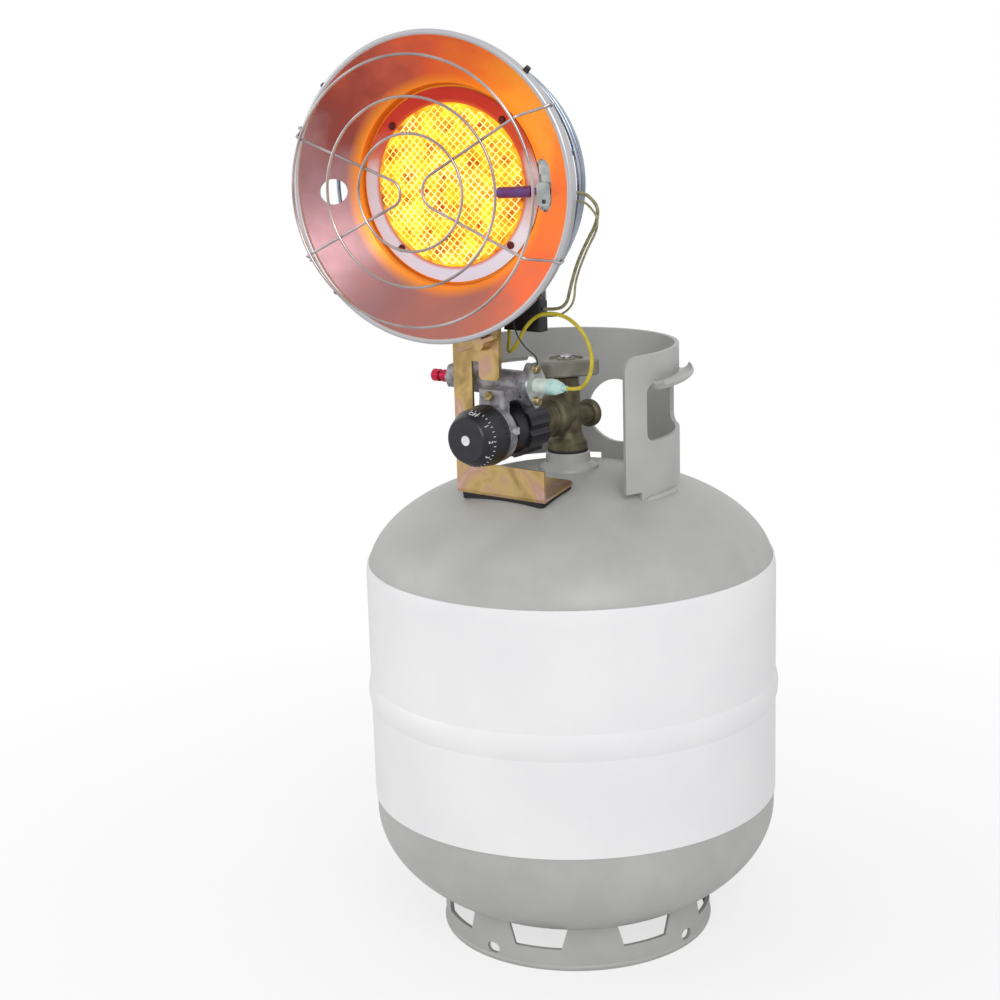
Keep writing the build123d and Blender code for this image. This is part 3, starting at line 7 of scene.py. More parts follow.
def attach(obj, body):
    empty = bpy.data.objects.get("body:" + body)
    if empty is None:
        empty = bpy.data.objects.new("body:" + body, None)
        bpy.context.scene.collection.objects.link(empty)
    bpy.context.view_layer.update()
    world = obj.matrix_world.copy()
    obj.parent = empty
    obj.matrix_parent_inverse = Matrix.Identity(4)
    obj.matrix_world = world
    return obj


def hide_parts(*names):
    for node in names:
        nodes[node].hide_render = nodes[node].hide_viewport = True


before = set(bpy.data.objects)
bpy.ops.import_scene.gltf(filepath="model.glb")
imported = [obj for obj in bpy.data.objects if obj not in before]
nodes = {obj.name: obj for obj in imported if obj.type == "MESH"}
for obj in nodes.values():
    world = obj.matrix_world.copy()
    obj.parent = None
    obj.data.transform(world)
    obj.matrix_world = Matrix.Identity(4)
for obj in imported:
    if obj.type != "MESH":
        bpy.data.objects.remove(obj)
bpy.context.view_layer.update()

# Camera: a long lens, a little above the heater's foot bracket and to the right of its front,
# rolled a touch clockwise, as the heater is usually shown in a catalogue.
camera = bpy.data.objects.new("camera", bpy.data.cameras.new("camera"))
bpy.context.scene.collection.objects.link(camera)
bpy.context.scene.camera = camera
sensor_width, focal_length = 36.0, 70.66
camera_place = (0.8503, -1.1703, 0.68505)
camera_look = Vector((-0.5996, 0.7655, -0.2334))
camera_roll = math.radians(-1.73)
camera.data.sensor_width = sensor_width
camera.data.lens = focal_length
camera.location = camera_place
camera.rotation_mode = "QUATERNION"
camera_level = camera_look.to_track_quat("-Z", "Y")
camera.rotation_quaternion = camera_level @ Quaternion((0, 0, 1), camera_roll)
bpy.context.scene.view_settings.view_transform = "Standard"

# Leads: thin insulated wires from the tilt switch and the thermocouple, and a short earth wire
# to the safety valve's end plate. They are stiff enough to keep the loops they were pushed into.
head_turn, head_roll = math.radians(12.3), math.radians(2.5)
head_centre = Vector((-0.024, -0.1225, 0.579))
head_right = Vector((
    math.cos(head_roll) * math.cos(head_turn),
    math.cos(head_roll) * math.sin(head_turn),
    math.sin(head_roll),
))
head_forward = Vector((math.sin(head_turn), -math.cos(head_turn), 0))
head_up = head_forward.cross(head_right)


def in_head(right, up, forward):
    """A point to the right, up and forward of the middle of the dish's rim."""
    return head_centre + head_right * right + head_up * up + head_forward * forward


def tone(red, green, blue):
    """A colour given as it looks, from 0 to 255, as the shader wants it."""
    linear = []
    for value in (red, green, blue):
        share = value / 255
        linear.append(share / 12.92 if share <= 0.04045 else ((share + 0.055) / 1.055) ** 2.4)
    return (*linear, 1.0)


mottle_detail, mottle_dark, mottle_pale = 6, 0.35, 0.65
least_rough, most_rough = 0.8, 1.2
relief_grain, relief_height = 12, 0.0004


def coat_of(name, pale, dark, grain, rough, metallic=0.0, relief=0.0):
    """A finish mottled between two colours and in roughness, over a relief of finer grain."""
    material = bpy.data.materials.new(name)
    material.use_nodes = True
    tree = material.node_tree
    shader = tree.nodes["Principled BSDF"]
    place = tree.nodes.new("ShaderNodeTexCoord")
    mottle = tree.nodes.new("ShaderNodeTexNoise")
    mottle.inputs["Scale"].default_value = grain
    mottle.inputs["Detail"].default_value = mottle_detail
    tree.links.new(place.outputs["Object"], mottle.inputs["Vector"])
    colours = tree.nodes.new("ShaderNodeValToRGB")
    first, last = colours.color_ramp.elements
    first.position, first.color = mottle_dark, dark
    last.position, last.color = mottle_pale, pale
    tree.links.new(mottle.outputs["Fac"], colours.inputs["Fac"])
    tree.links.new(colours.outputs["Color"], shader.inputs["Base Color"])
    worn = tree.nodes.new("ShaderNodeMapRange")
    worn.inputs["To Min"].default_value = rough * least_rough
    worn.inputs["To Max"].default_value = min(rough * most_rough, 1.0)
    tree.links.new(mottle.outputs["Fac"], worn.inputs["Value"])
    tree.links.new(worn.outputs["Result"], shader.inputs["Roughness"])
    shader.inputs["Metallic"].default_value = metallic
    if relief:
        skin = tree.nodes.new("ShaderNodeTexNoise")
        skin.inputs["Scale"].default_value = grain * relief_grain
        tree.links.new(place.outputs["Object"], skin.inputs["Vector"])
        bump = tree.nodes.new("ShaderNodeBump")
        bump.inputs["Strength"].default_value = relief
        bump.inputs["Distance"].default_value = relief_height
        tree.links.new(skin.outputs["Fac"], bump.inputs["Height"])
        tree.links.new(bump.outputs["Normal"], shader.inputs["Normal"])
    return material


steps_round, steps_between_points = 5, 10


def lead(name, points, diameter, material):
    """One wire on a smooth line, standing for the plain tube of the same name."""
    curve = bpy.data.curves.new(name + "_wire", "CURVE")
    curve.dimensions = "3D"
    curve.bevel_depth = diameter / 2
    curve.bevel_resolution = steps_round
    curve.resolution_u = steps_between_points
    curve.use_fill_caps = True
    line = curve.splines.new("NURBS")
    line.points.add(len(points) - 1)
    for knot, point in zip(line.points, points):
        knot.co = (*point, 1.0)
    line.order_u = 3
    line.use_endpoint_u = True
    piece = bpy.data.objects.new(name + "_wire", curve)
    bpy.context.scene.collection.objects.link(piece)
    curve.materials.append(material)
    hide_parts(name)
    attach(piece, "root")


yellow_insulation = coat_of("yellow_insulation", tone(206, 188, 48), tone(178, 158, 26), 180, 0.38)
olive_insulation = coat_of(
    "olive_insulation", tone(176, 168, 132), tone(124, 116, 82), 420, 0.62, relief=0.6
)
black_insulation = coat_of("black_insulation", tone(46, 44, 46), tone(28, 26, 28), 260, 0.45)

lead("yellow_wire", [
    (-0.0085, -0.057, 0.4745), (-0.0085, -0.057, 0.4665), (-0.007, -0.061, 0.459),
    (0, -0.0665, 0.4595), (0.007, -0.0675, 0.467), (0.0135, -0.0675, 0.478),
    (0.024, -0.0675, 0.4875), (0.038, -0.0675, 0.4905), (0.052, -0.067, 0.4875),
    (0.0635, -0.067, 0.479), (0.07, -0.0665, 0.4665), (0.0705, -0.066, 0.4535),
    (0.0655, -0.066, 0.4425), (0.0585, -0.066, 0.437), (0.0485, -0.066, 0.437),
], diameter=0.0028, material=yellow_insulation)
lead("thermocouple_lead", [
    in_head(0.097, -0.008, -0.025), in_head(0.104, -0.008, -0.025), (0.079, -0.0745, 0.5712),
    (0.0831, -0.073, 0.5644), (0.0794, -0.071, 0.554), (0.0708, -0.0685, 0.5433),
    (0.0619, -0.066, 0.531), (0.0548, -0.0635, 0.5186), (0.0484, -0.0605, 0.5053),
    (0.0442, -0.058, 0.4963), (0.0355, -0.057, 0.4908), (0.023, -0.057, 0.4908),
], diameter=0.0024, material=olive_insulation)
lead("switch_lead", [
    in_head(0.097, -0.0135, -0.025), in_head(0.103, -0.0135, -0.025), (0.079, -0.0775, 0.5666),
    (0.0847, -0.0765, 0.5594), (0.083, -0.075, 0.5506), (0.0731, -0.072, 0.5381),
    (0.0644, -0.069, 0.5251), (0.0572, -0.066, 0.5119), (0.0544, -0.063, 0.5008),
    (0.0488, -0.061, 0.493), (0.036, -0.059, 0.486), (0.023, -0.059, 0.486),
], diameter=0.0016, material=olive_insulation)
lead("earth_lead", [
    (0.007, -0.062, 0.491), (0.007, -0.068, 0.491), (0.0065, -0.072, 0.485),
    (0.0085, -0.072, 0.475), (0.014, -0.071, 0.4665), (0.020, -0.069, 0.4605),
    (0.0228, -0.066, 0.4575), (0.0228, -0.066, 0.4518),
], diameter=0.0011, material=black_insulation)

# Studio: a pale paper floor, a soft lamp at the front right, a weaker one at the left to fill
# the shadows, and an even sky that is seen, and mirrored in metal, as plain white.
floor_mesh = bpy.data.meshes.new("floor")
floor_reach = 6.0
floor_corners = [
    (across * floor_reach, back * floor_reach, 0)
    for across, back in ((-1, -1), (1, -1), (1, 1), (-1, 1))
]
floor_mesh.from_pydata(floor_corners, [], [(0, 1, 2, 3)])
floor = bpy.data.objects.new("floor", floor_mesh)
bpy.context.scene.collection.objects.link(floor)
floor_paper = coat_of("floor_paper", tone(244, 244, 244), tone(241, 241, 241), 3, 0.9)
floor_mesh.materials.append(floor_paper)
# The paper is seen plain white at a distance, and keeps a soft shadow near the heater
paper_near, paper_far, near_white = 0.2, 0.8, 0.72
paper_tree = floor_paper.node_tree
paper_place = paper_tree.nodes.new("ShaderNodeTexCoord")
paper_reach = paper_tree.nodes.new("ShaderNodeVectorMath")
paper_reach.operation = "LENGTH"
paper_tree.links.new(paper_place.outputs["Object"], paper_reach.inputs[0])
paper_fade = paper_tree.nodes.new("ShaderNodeMapRange")
paper_fade.inputs["From Min"].default_value = paper_near
paper_fade.inputs["From Max"].default_value = paper_far
paper_fade.inputs["To Min"].default_value = near_white
paper_tree.links.new(paper_reach.outputs["Value"], paper_fade.inputs["Value"])
paper_rays = paper_tree.nodes.new("ShaderNodeLightPath")
paper_share = paper_tree.nodes.new("ShaderNodeMath")
paper_share.operation = "MULTIPLY"
paper_tree.links.new(paper_rays.outputs["Is Camera Ray"], paper_share.inputs[0])
paper_tree.links.new(paper_fade.outputs["Result"], paper_share.inputs[1])
plain_white = (1, 1, 1, 1)
paper_shine = paper_tree.nodes.new("ShaderNodeEmission")
paper_shine.inputs["Color"].default_value = plain_white
paper_mix = paper_tree.nodes.new("ShaderNodeMixShader")
paper_tree.links.new(paper_share.outputs[0], paper_mix.inputs["Fac"])
paper_tree.links.new(paper_tree.nodes["Principled BSDF"].outputs[0], paper_mix.inputs[1])
paper_tree.links.new(paper_shine.outputs[0], paper_mix.inputs[2])
paper_tree.links.new(paper_mix.outputs[0], paper_tree.nodes["Material Output"].inputs["Surface"])

sky = bpy.data.worlds.new("sky")
bpy.context.scene.world = sky
sky.use_nodes = True
sky_tree = sky.node_tree
lighting_strength, seen_strength = 0.62, 1.0
light_sky = sky_tree.nodes["Background"]
light_sky.inputs["Color"].default_value = plain_white
light_sky.inputs["Strength"].default_value = lighting_strength
seen_sky = sky_tree.nodes.new("ShaderNodeBackground")
seen_sky.inputs["Color"].default_value = plain_white
seen_sky.inputs["Strength"].default_value = seen_strength
rays = sky_tree.nodes.new("ShaderNodeLightPath")
seen_or_mirrored = sky_tree.nodes.new("ShaderNodeMath")
seen_or_mirrored.operation = "MAXIMUM"
sky_tree.links.new(rays.outputs["Is Camera Ray"], seen_or_mirrored.inputs[0])
sky_tree.links.new(rays.outputs["Is Glossy Ray"], seen_or_mirrored.inputs[1])
choose = sky_tree.nodes.new("ShaderNodeMixShader")
sky_tree.links.new(seen_or_mirrored.outputs[0], choose.inputs["Fac"])
sky_tree.links.new(light_sky.outputs[0], choose.inputs[1])
sky_tree.links.new(seen_sky.outputs[0], choose.inputs[2])
sky_tree.links.new(choose.outputs[0], sky_tree.nodes["World Output"].inputs["Surface"])


lit_place = Vector((0, 0, 0.35))


def softbox(name, place, size, power):
    """A square lamp that faces the middle of the heater."""
    lamp = bpy.data.lights.new(name, "AREA")
    lamp.size, lamp.energy = size, power
    box = bpy.data.objects.new(name, lamp)
    box.location = place
    box.rotation_euler = (lit_place - Vector(place)).to_track_quat("-Z", "Y").to_euler()
    bpy.context.scene.collection.objects.link(box)


softbox("key", (1.6, -1.5, 1.7), size=1.2, power=22)
softbox("fill", (-1.7, -1.2, 0.9), size=1.4, power=9)


def finish_node(material, *names):
    """Gives carried-over CAD pieces their finish."""
    for name in names:
        for material_slot in nodes[name].material_slots:
            material_slot.material = material


def new_piece(name, vertices, faces, material, body, smooth=True):
    """A modelled piece in the shared frame, riding on a body."""
    mesh = bpy.data.meshes.new(name)
    mesh.from_pydata([tuple(vertex) for vertex in vertices], [], faces)
    mesh.update()
    for face in mesh.polygons:
        face.use_smooth = smooth
    mesh.materials.append(material)
    piece = bpy.data.objects.new(name, mesh)
    bpy.context.scene.collection.objects.link(piece)
    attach(piece, body)


# Cylinder: two drawn steel heads, a rolled foot ring and a collar, powder coated pale grey
# after welding, with a faint orange peel all over.
tank_paint = coat_of("tank_paint", tone(181, 182, 180), tone(173, 174, 172), 28, 0.4, relief=0.22)
finish_node(tank_paint, "upper_head", "lower_head", "foot_ring", "collar", "valve_boss")

# Weld beads under the collar's feet: short hand-laid runs along the shoulder, painted over. Each
# swells and narrows along its length, and tapers off at both ends.
weld_radius, weld_ripple, ripple_turn = 0.0026, 0.0005, 1.6
taper_rise, end_share = 8, 0.1
shoulder_start, shoulder_rise, shell_radius = 0.285, 0.078, 0.1545
foot_turns, foot_half_span, weld_line = (2.0, 90.0, 191.0), 15.0, 0.0848
around, along = 8, 60


def shoulder_height(reach):
    """The height of the cylinder's shoulder at a distance from its axis."""
    return shoulder_start + shoulder_rise * math.sqrt(1 - (reach / shell_radius) ** 2)


for number, foot in enumerate(foot_turns):
    vertices, faces = [], []
    for step in range(along + 1):
        share = step / along
        turn = math.radians(foot + foot_half_span * (2 * share - 1))
        taper = min(1, taper_rise * share + end_share, taper_rise * (1 - share) + end_share)
        radius = (weld_radius + weld_ripple * math.sin(step * ripple_turn)) * taper
        for spin in range(around):
            angle = 2 * math.pi * spin / around
            reach = weld_line + radius * math.cos(angle)
            height = shoulder_height(weld_line) + radius * math.sin(angle)
            vertices.append((reach * math.cos(turn), reach * math.sin(turn), height))
    for step in range(along):
        for spin in range(around):
            next_spin = (spin + 1) % around
            near, far = step * around, (step + 1) * around
            faces.append((near + spin, near + next_spin, far + next_spin, far + spin))
    faces.append(tuple(reversed(range(around))))
    faces.append(tuple(along * around + spin for spin in range(around)))
    new_piece(f"collar_weld_{number + 1}", vertices, faces, tank_paint, "root")

# Sleeve: a heat-shrunk white film round the shell, glossy, bare of print, with slight creases
# over the girth weld.
sleeve_film = coat_of("sleeve_film", tone(240, 240, 241), tone(233, 233, 235), 9, 0.3, relief=0.08)
finish_node(sleeve_film, "label_sleeve")

# Cylinder valve: forged brass, brown with handling, with a moulded handwheel on a steel screw
# and an overfill stop with its float hanging inside the vessel.
valve_brass = coat_of("valve_brass", tone(120, 112, 88), tone(82, 74, 58), 90, 0.5, 0.6, 0.4)
wheel_plastic = coat_of(
    "wheel_plastic", tone(142, 140, 128), tone(112, 108, 98), 60, 0.5, relief=0.3
)
bright_steel = coat_of(
    "bright_steel", tone(188, 188, 190), tone(150, 150, 154), 130, 0.28, 1.0, 0.1
)
seal_rubber = coat_of("seal_rubber", tone(44, 44, 44), tone(28, 28, 28), 150, 0.75, relief=0.3)
float_foam = coat_of("float_foam", tone(62, 62, 62), tone(44, 44, 44), 200, 0.85, relief=0.5)
finish_node(
    valve_brass, "tank_valve_body", "relief_valve", "bleed_screw", "packing_nut", "valve_stem",
    "overfill_stop", "coupling_nipple", "gas_jet",
)
finish_node(wheel_plastic, "valve_handwheel")
finish_node(
    bright_steel, "handwheel_screw", "float_arm", "magnet_unit", "button_spring",
    "regulator_spring",
)
finish_node(seal_rubber, "valve_o_ring", "diaphragm")
finish_node(float_foam, "valve_float")

# Regulator and safety valve: gravity-cast alloy left as cast, mottled and slightly rough,
# closed by a bright zinc plate on the right, with a moulded coupling nut behind.
cast_alloy = coat_of("cast_alloy", tone(172, 170, 174), tone(118, 116, 122), 150, 0.5, 0.65, 0.8)
zinc_plate = coat_of("zinc_plate", tone(206, 212, 210), tone(162, 168, 168), 110, 0.32, 0.9, 0.2)
golden_zinc = coat_of(
    "golden_zinc_screws", tone(196, 180, 136), tone(140, 122, 82), 160, 0.34, 0.9, 0.2
)
black_plastic = coat_of(
    "black_plastic", tone(22, 23, 31), tone(12, 12, 18), 120, 0.34, relief=0.25
)
milky_sleeve = coat_of(
    "milky_sleeve", tone(226, 234, 228), tone(206, 218, 212), 140, 0.35, relief=0.1
)
teal_boot = coat_of("teal_boot", tone(200, 230, 226), tone(160, 208, 204), 140, 0.4)
pale_pointer = coat_of("pale_pointer", tone(196, 196, 200), tone(150, 150, 156), 200, 0.35)
red_anodising = coat_of(
    "red_anodising", tone(206, 26, 66), tone(164, 12, 48), 120, 0.32, 0.55, 0.15
)
finish_node(
    cast_alloy, "regulator_body", "regulator_bonnet", "safety_valve_body", "button_bushing"
)
finish_node(zinc_plate, "valve_flange_plate", "thermocouple_bracket", "tilt_switch_bracket")
finish_node(golden_zinc, "flange_screws", "pilot_screw")
finish_node(black_plastic, "coupling_nut", "regulator_knob", "tilt_switch")
finish_node(bright_steel, "regulator_screws")
finish_node(milky_sleeve, "terminal_sleeve")
finish_node(teal_boot, "wire_terminal")
finish_node(pale_pointer, "dial_pointer")
finish_node(red_anodising, "red_button")

# Dial marks: printed white on the knob's slope, plain numbers and ticks, with a pale disc
# pressed into the recess at the middle of its front. They turn with the knob.
outlet_height, knob_front = 0.4045, 0.122
mark_white = coat_of("mark_white", tone(232, 232, 234), tone(214, 214, 218), 300, 0.5)
disc_radius, disc_proud, disc_depth, disc_sides = 0.0036, 0.0001, 0.0007, 40
disc_front, disc_back = -knob_front - disc_proud, -knob_front + disc_depth
vertices = [(0, disc_front, outlet_height)]
for layer in (disc_front, disc_back):
    for step in range(disc_sides):
        angle = 2 * math.pi * step / disc_sides
        height = outlet_height + disc_radius * math.sin(angle)
        vertices.append((disc_radius * math.cos(angle), layer, height))
faces = [(0, 1 + step, 1 + (step + 1) % disc_sides) for step in range(disc_sides)]
for step in range(disc_sides):
    after = (step + 1) % disc_sides
    faces.append((1 + step, 1 + disc_sides + step, 1 + disc_sides + after, 1 + after))
faces.append(tuple(1 + disc_sides + step for step in reversed(range(disc_sides))))
new_piece(
    "knob_disc", vertices, faces, mark_white, "regulator_dial", smooth=False
)

# The knob's slope runs from its skirt to its front; marks lie on it, with their tops to the skirt
slope_wide, slope_narrow, slope_back, slope_front = 0.0206, 0.0166, 0.113, 0.121
slope_fall, slope_run = slope_wide - slope_narrow, slope_front - slope_back
slope_length = math.hypot(slope_fall, slope_run)


def on_slope(turn, share, lift):
    """A place on the knob's slope, with the directions round it, up it and out of it."""
    angle = math.radians(turn)
    out = Vector((math.cos(angle), 0, math.sin(angle)))
    up = (out * slope_fall + Vector((0, slope_run, 0))) / slope_length
    radius = slope_wide + (slope_narrow - slope_wide) * share
    depth = slope_back + (slope_front - slope_back) * share
    around = Vector((math.sin(angle), 0, -math.cos(angle)))
    normal = around.cross(up)
    return Vector((0, -depth, outlet_height)) + out * radius + normal * lift, around, up, normal


mark_words = (("OFF", 78.0), ("1", 36.0), ("2", 0.0), ("3", -36.0))
mark_height, mark_print, mark_share, mark_lift = 0.0046, 0.00012, 0.5, 0.00015
for word, turn in mark_words:
    text = bpy.data.curves.new("mark_" + word, "FONT")
    text.body = word
    text.size, text.extrude = mark_height, mark_print
    text.align_x, text.align_y = "CENTER", "CENTER"
    text.materials.append(mark_white)
    mark = bpy.data.objects.new("mark_" + word, text)
    bpy.context.scene.collection.objects.link(mark)
    spot, around_knob, up_knob, out_of_knob = on_slope(turn, mark_share, mark_lift)
    turned = Matrix((around_knob, up_knob, out_of_knob)).transposed()
    mark.rotation_euler = turned.to_euler()
    mark.location = spot
    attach(mark, "regulator_dial")

tick_count, tick_start, tick_sweep = 28, 90, 270
tick_low, tick_high, tick_half = 0.02, 0.2, 0.00022
tick_sides = ((0, 1, 2, 3), (7, 6, 5, 4), (0, 4, 5, 1), (1, 5, 6, 2), (2, 6, 7, 3), (3, 7, 4, 0))
vertices, faces = [], []
for number in range(tick_count):
    turn = tick_start - tick_sweep * number / (tick_count - 1)
    first = len(vertices)
    for lift in (mark_print, -mark_print):
        for share, hand in ((tick_low, -1), (tick_high, -1), (tick_high, 1), (tick_low, 1)):
            spot, around_knob, up_knob, out_of_knob = on_slope(turn, share, lift)
            vertices.append(spot + around_knob * tick_half * hand)
    faces += [tuple(first + corner for corner in side) for side in tick_sides]
new_piece(
    "dial_ticks", vertices, faces, mark_white, "regulator_dial", smooth=False
)

# Bracket and clamp: sheet steel in yellow zinc passivate, which drifts between straw, olive
# and a pink sheen, with a rubber pad under the foot.
zinc_grain, zinc_detail, zinc_swirl = 32, 4, 0.9
zinc_smooth, zinc_dull, zinc_metallic = 0.26, 0.44, 0.85
zinc_olive, zinc_pink = (0.30, tone(134, 112, 74)), (0.72, tone(204, 170, 156))
zinc_between = (
    (0.42, tone(172, 144, 94)), (0.52, tone(196, 168, 112)), (0.62, tone(188, 150, 128)),
)
yellow_zinc = bpy.data.materials.new("yellow_zinc")
yellow_zinc.use_nodes = True
zinc_tree = yellow_zinc.node_tree
zinc_shader = zinc_tree.nodes["Principled BSDF"]
zinc_place = zinc_tree.nodes.new("ShaderNodeTexCoord")
zinc_cloud = zinc_tree.nodes.new("ShaderNodeTexNoise")
zinc_cloud.inputs["Scale"].default_value = zinc_grain
zinc_cloud.inputs["Detail"].default_value = zinc_detail
zinc_cloud.inputs["Distortion"].default_value = zinc_swirl
zinc_tree.links.new(zinc_place.outputs["Object"], zinc_cloud.inputs["Vector"])
zinc_colours = zinc_tree.nodes.new("ShaderNodeValToRGB")
zinc_ramp = zinc_colours.color_ramp
for element, (position, colour) in zip(zinc_ramp.elements, (zinc_olive, zinc_pink)):
    element.position, element.color = position, colour
for position, colour in zinc_between:
    zinc_ramp.elements.new(position).color = colour
zinc_tree.links.new(zinc_cloud.outputs["Fac"], zinc_colours.inputs["Fac"])
zinc_tree.links.new(zinc_colours.outputs["Color"], zinc_shader.inputs["Base Color"])
zinc_gloss = zinc_tree.nodes.new("ShaderNodeMapRange")
zinc_gloss.inputs["To Min"].default_value = zinc_smooth
zinc_gloss.inputs["To Max"].default_value = zinc_dull
zinc_tree.links.new(zinc_cloud.outputs["Fac"], zinc_gloss.inputs["Value"])
zinc_tree.links.new(zinc_gloss.outputs["Result"], zinc_shader.inputs["Roughness"])
zinc_shader.inputs["Metallic"].default_value = zinc_metallic
finish_node(yellow_zinc, "support_bracket", "head_bracket", "wing_bolt", "bolt_nut")
pad_rubber = coat_of("pad_rubber", tone(40, 39, 40), tone(26, 25, 26), 90, 0.8, relief=0.5)
finish_node(pad_rubber, "foot_pad")

# Burner: a pressed steel cup behind a woven heat-resisting screen that glows yellow, with a cooler
# heat-stained ring screwed over its edge, which also carries a painted band of the burner's glow at
# its inner edge.
burner_steel = coat_of("burner_steel", tone(120, 100, 92), tone(78, 62, 58), 80, 0.5, 0.8, 0.3)
scorched_screws = coat_of(
    "scorched_screws", tone(112, 44, 36), tone(68, 26, 24), 160, 0.5, 0.6, 0.3
)
dark_screws = coat_of("dark_screws", tone(70, 60, 58), tone(44, 38, 38), 160, 0.45, 0.6, 0.3)
finish_node(burner_steel, "burner_cup", "mixing_tube", "burner_plate")
finish_node(scorched_screws, "burner_screws")
finish_node(dark_screws, "rim_screws")

glow_detail, glow_rough = 3, 0.6
cool_at, warm_at, hot_at = 0.32, 0.47, 0.66


def glow_of(name, cool, warm, hot, strength, patch):
    """Hot metal: patches from a cooler to a hotter colour, giving off its own light."""
    material = bpy.data.materials.new(name)
    material.use_nodes = True
    tree = material.node_tree
    shader = tree.nodes["Principled BSDF"]
    place = tree.nodes.new("ShaderNodeTexCoord")
    heat = tree.nodes.new("ShaderNodeTexNoise")
    heat.inputs["Scale"].default_value = patch
    heat.inputs["Detail"].default_value = glow_detail
    tree.links.new(place.outputs["Object"], heat.inputs["Vector"])
    colours = tree.nodes.new("ShaderNodeValToRGB")
    ramp = colours.color_ramp
    ramp.elements[0].position, ramp.elements[0].color = cool_at, cool
    ramp.elements[1].position, ramp.elements[1].color = hot_at, hot
    ramp.elements.new(warm_at).color = warm
    tree.links.new(heat.outputs["Fac"], colours.inputs["Fac"])
    tree.links.new(colours.outputs["Color"], shader.inputs["Base Color"])
    tree.links.new(colours.outputs["Color"], shader.inputs["Emission Color"])
    shader.inputs["Emission Strength"].default_value = strength
    shader.inputs["Roughness"].default_value = glow_rough
    return material


gauze_glow = glow_of(
    "gauze_glow", tone(160, 60, 8), tone(246, 160, 18), tone(255, 206, 36), strength=0.5, patch=95
)
wire_glow = glow_of(
    "wire_glow", tone(255, 222, 92), tone(255, 238, 130), tone(255, 248, 184),
    strength=0.62, patch=60,
)
finish_node(gauze_glow, "burner_mesh")

# The screen's outer wires, woven square and set on the diagonal, lie on the pressed gauze, which
# is flat in the middle and falls in two slopes to its edge.
screen_reach, screen_pitch, screen_wire, screen_weave = 0.0565, 0.0041, 0.00042, 0.00028
gauze_front, gauze_rise = -0.0342, 0.0040
gauze_flat, gauze_shoulder, gauze_edge, shoulder_share = 0.020, 0.042, 0.057, 0.6


def gauze_depth(reach):
    """The front of the gauze, forward of the rim, at a distance from the head's axis."""
    if reach < gauze_flat:
        return gauze_front + gauze_rise
    if reach < gauze_shoulder:
        fallen = (1 - shoulder_share) * (reach - gauze_flat) / (gauze_shoulder - gauze_flat)
        return gauze_front + gauze_rise * (1 - fallen)
    left = (gauze_edge - reach) / (gauze_edge - gauze_shoulder)
    return gauze_front + gauze_rise * shoulder_share * left


screen = bpy.data.curves.new("burner_screen", "CURVE")
screen.dimensions = "3D"
screen.bevel_depth = screen_wire
screen.bevel_resolution = 1
screen.use_fill_caps = True
wires_each_way = int(screen_reach / screen_pitch)
warp, weft = 45, 135
for lay in (warp, weft):
    along_x, along_y = math.cos(math.radians(lay)), math.sin(math.radians(lay))
    for number in range(-wires_each_way, wires_each_way + 1):
        offset = number * screen_pitch
        half = math.sqrt(max(screen_reach**2 - offset**2, 0))
        crossings = int(half / screen_pitch)
        if crossings < 1:
            continue
        wire = screen.splines.new("POLY")
        wire.points.add(2 * crossings)
        for knot, crossing in zip(wire.points, range(-crossings, crossings + 1)):
            run = crossing * screen_pitch
            x, y = run * along_x - offset * along_y, run * along_y + offset * along_x
            over = 1 if (number + crossing + (lay == weft)) % 2 else -1
            depth = gauze_depth(math.hypot(x, y)) + 2 * screen_wire + screen_weave * over
            knot.co = (*in_head(x, y, depth), 1.0)
screen_piece = bpy.data.objects.new("burner_screen", screen)
bpy.context.scene.collection.objects.link(screen_piece)
screen.materials.append(wire_glow)
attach(screen_piece, "root")

# Dish: spun sheet, bright on its rim and back, and coloured inside by heat and by painted burner
# glow: mauve at the left, rose below, and orange to yellow at the upper right, where painted glow
# of the burner lies over the heat tint, with a painted band of the burner's glow where it turns in
# at the burner. The ring screwed over the burner is red above and bleached to lavender below, with
# a painted band of the burner's glow at its inner edge.
head_place = Matrix((head_right, head_up, head_forward)).transposed().to_euler()
bare_steel = tone(188, 188, 192)
rim_start, rim_full, front_facing = 0.1034, 0.1042, 0.2


def worked(tree, kind, operation, *sources):
    """A maths node that takes other nodes' outputs or plain values, in order."""
    node = tree.nodes.new(kind)
    node.operation = operation
    for socket, source in zip(node.inputs, sources):
        if isinstance(source, bpy.types.NodeSocket):
            tree.links.new(source, socket)
        else:
            socket.default_value = source
    return node


def ranged(tree, source, low, high, start, end):
    """A value moved from one range to another, and held at its ends."""
    node = tree.nodes.new("ShaderNodeMapRange")
    tree.links.new(source, node.inputs["Value"])
    for socket, value in zip(("From Min", "From Max", "To Min", "To Max"), (low, high, start, end)):
        node.inputs[socket].default_value = value
    return node.outputs["Result"]


def mixed(tree, share, first, second):
    """Two colours mixed by a share; each is a node's output or a plain colour."""
    node = tree.nodes.new("ShaderNodeMix")
    node.data_type = "RGBA"
    tree.links.new(share, node.inputs["Factor"])
    for socket, source in ((node.inputs[6], first), (node.inputs[7], second)):
        if isinstance(source, bpy.types.NodeSocket):
            tree.links.new(source, socket)
        else:
            socket.default_value = source
    return node.outputs[2]


cloud_grain, cloud_detail, cloud_low, cloud_high = 26, 5, 0.3, 0.7
turn_drift, band_smooth, band_dull = 0.045, 0.8, 1.25


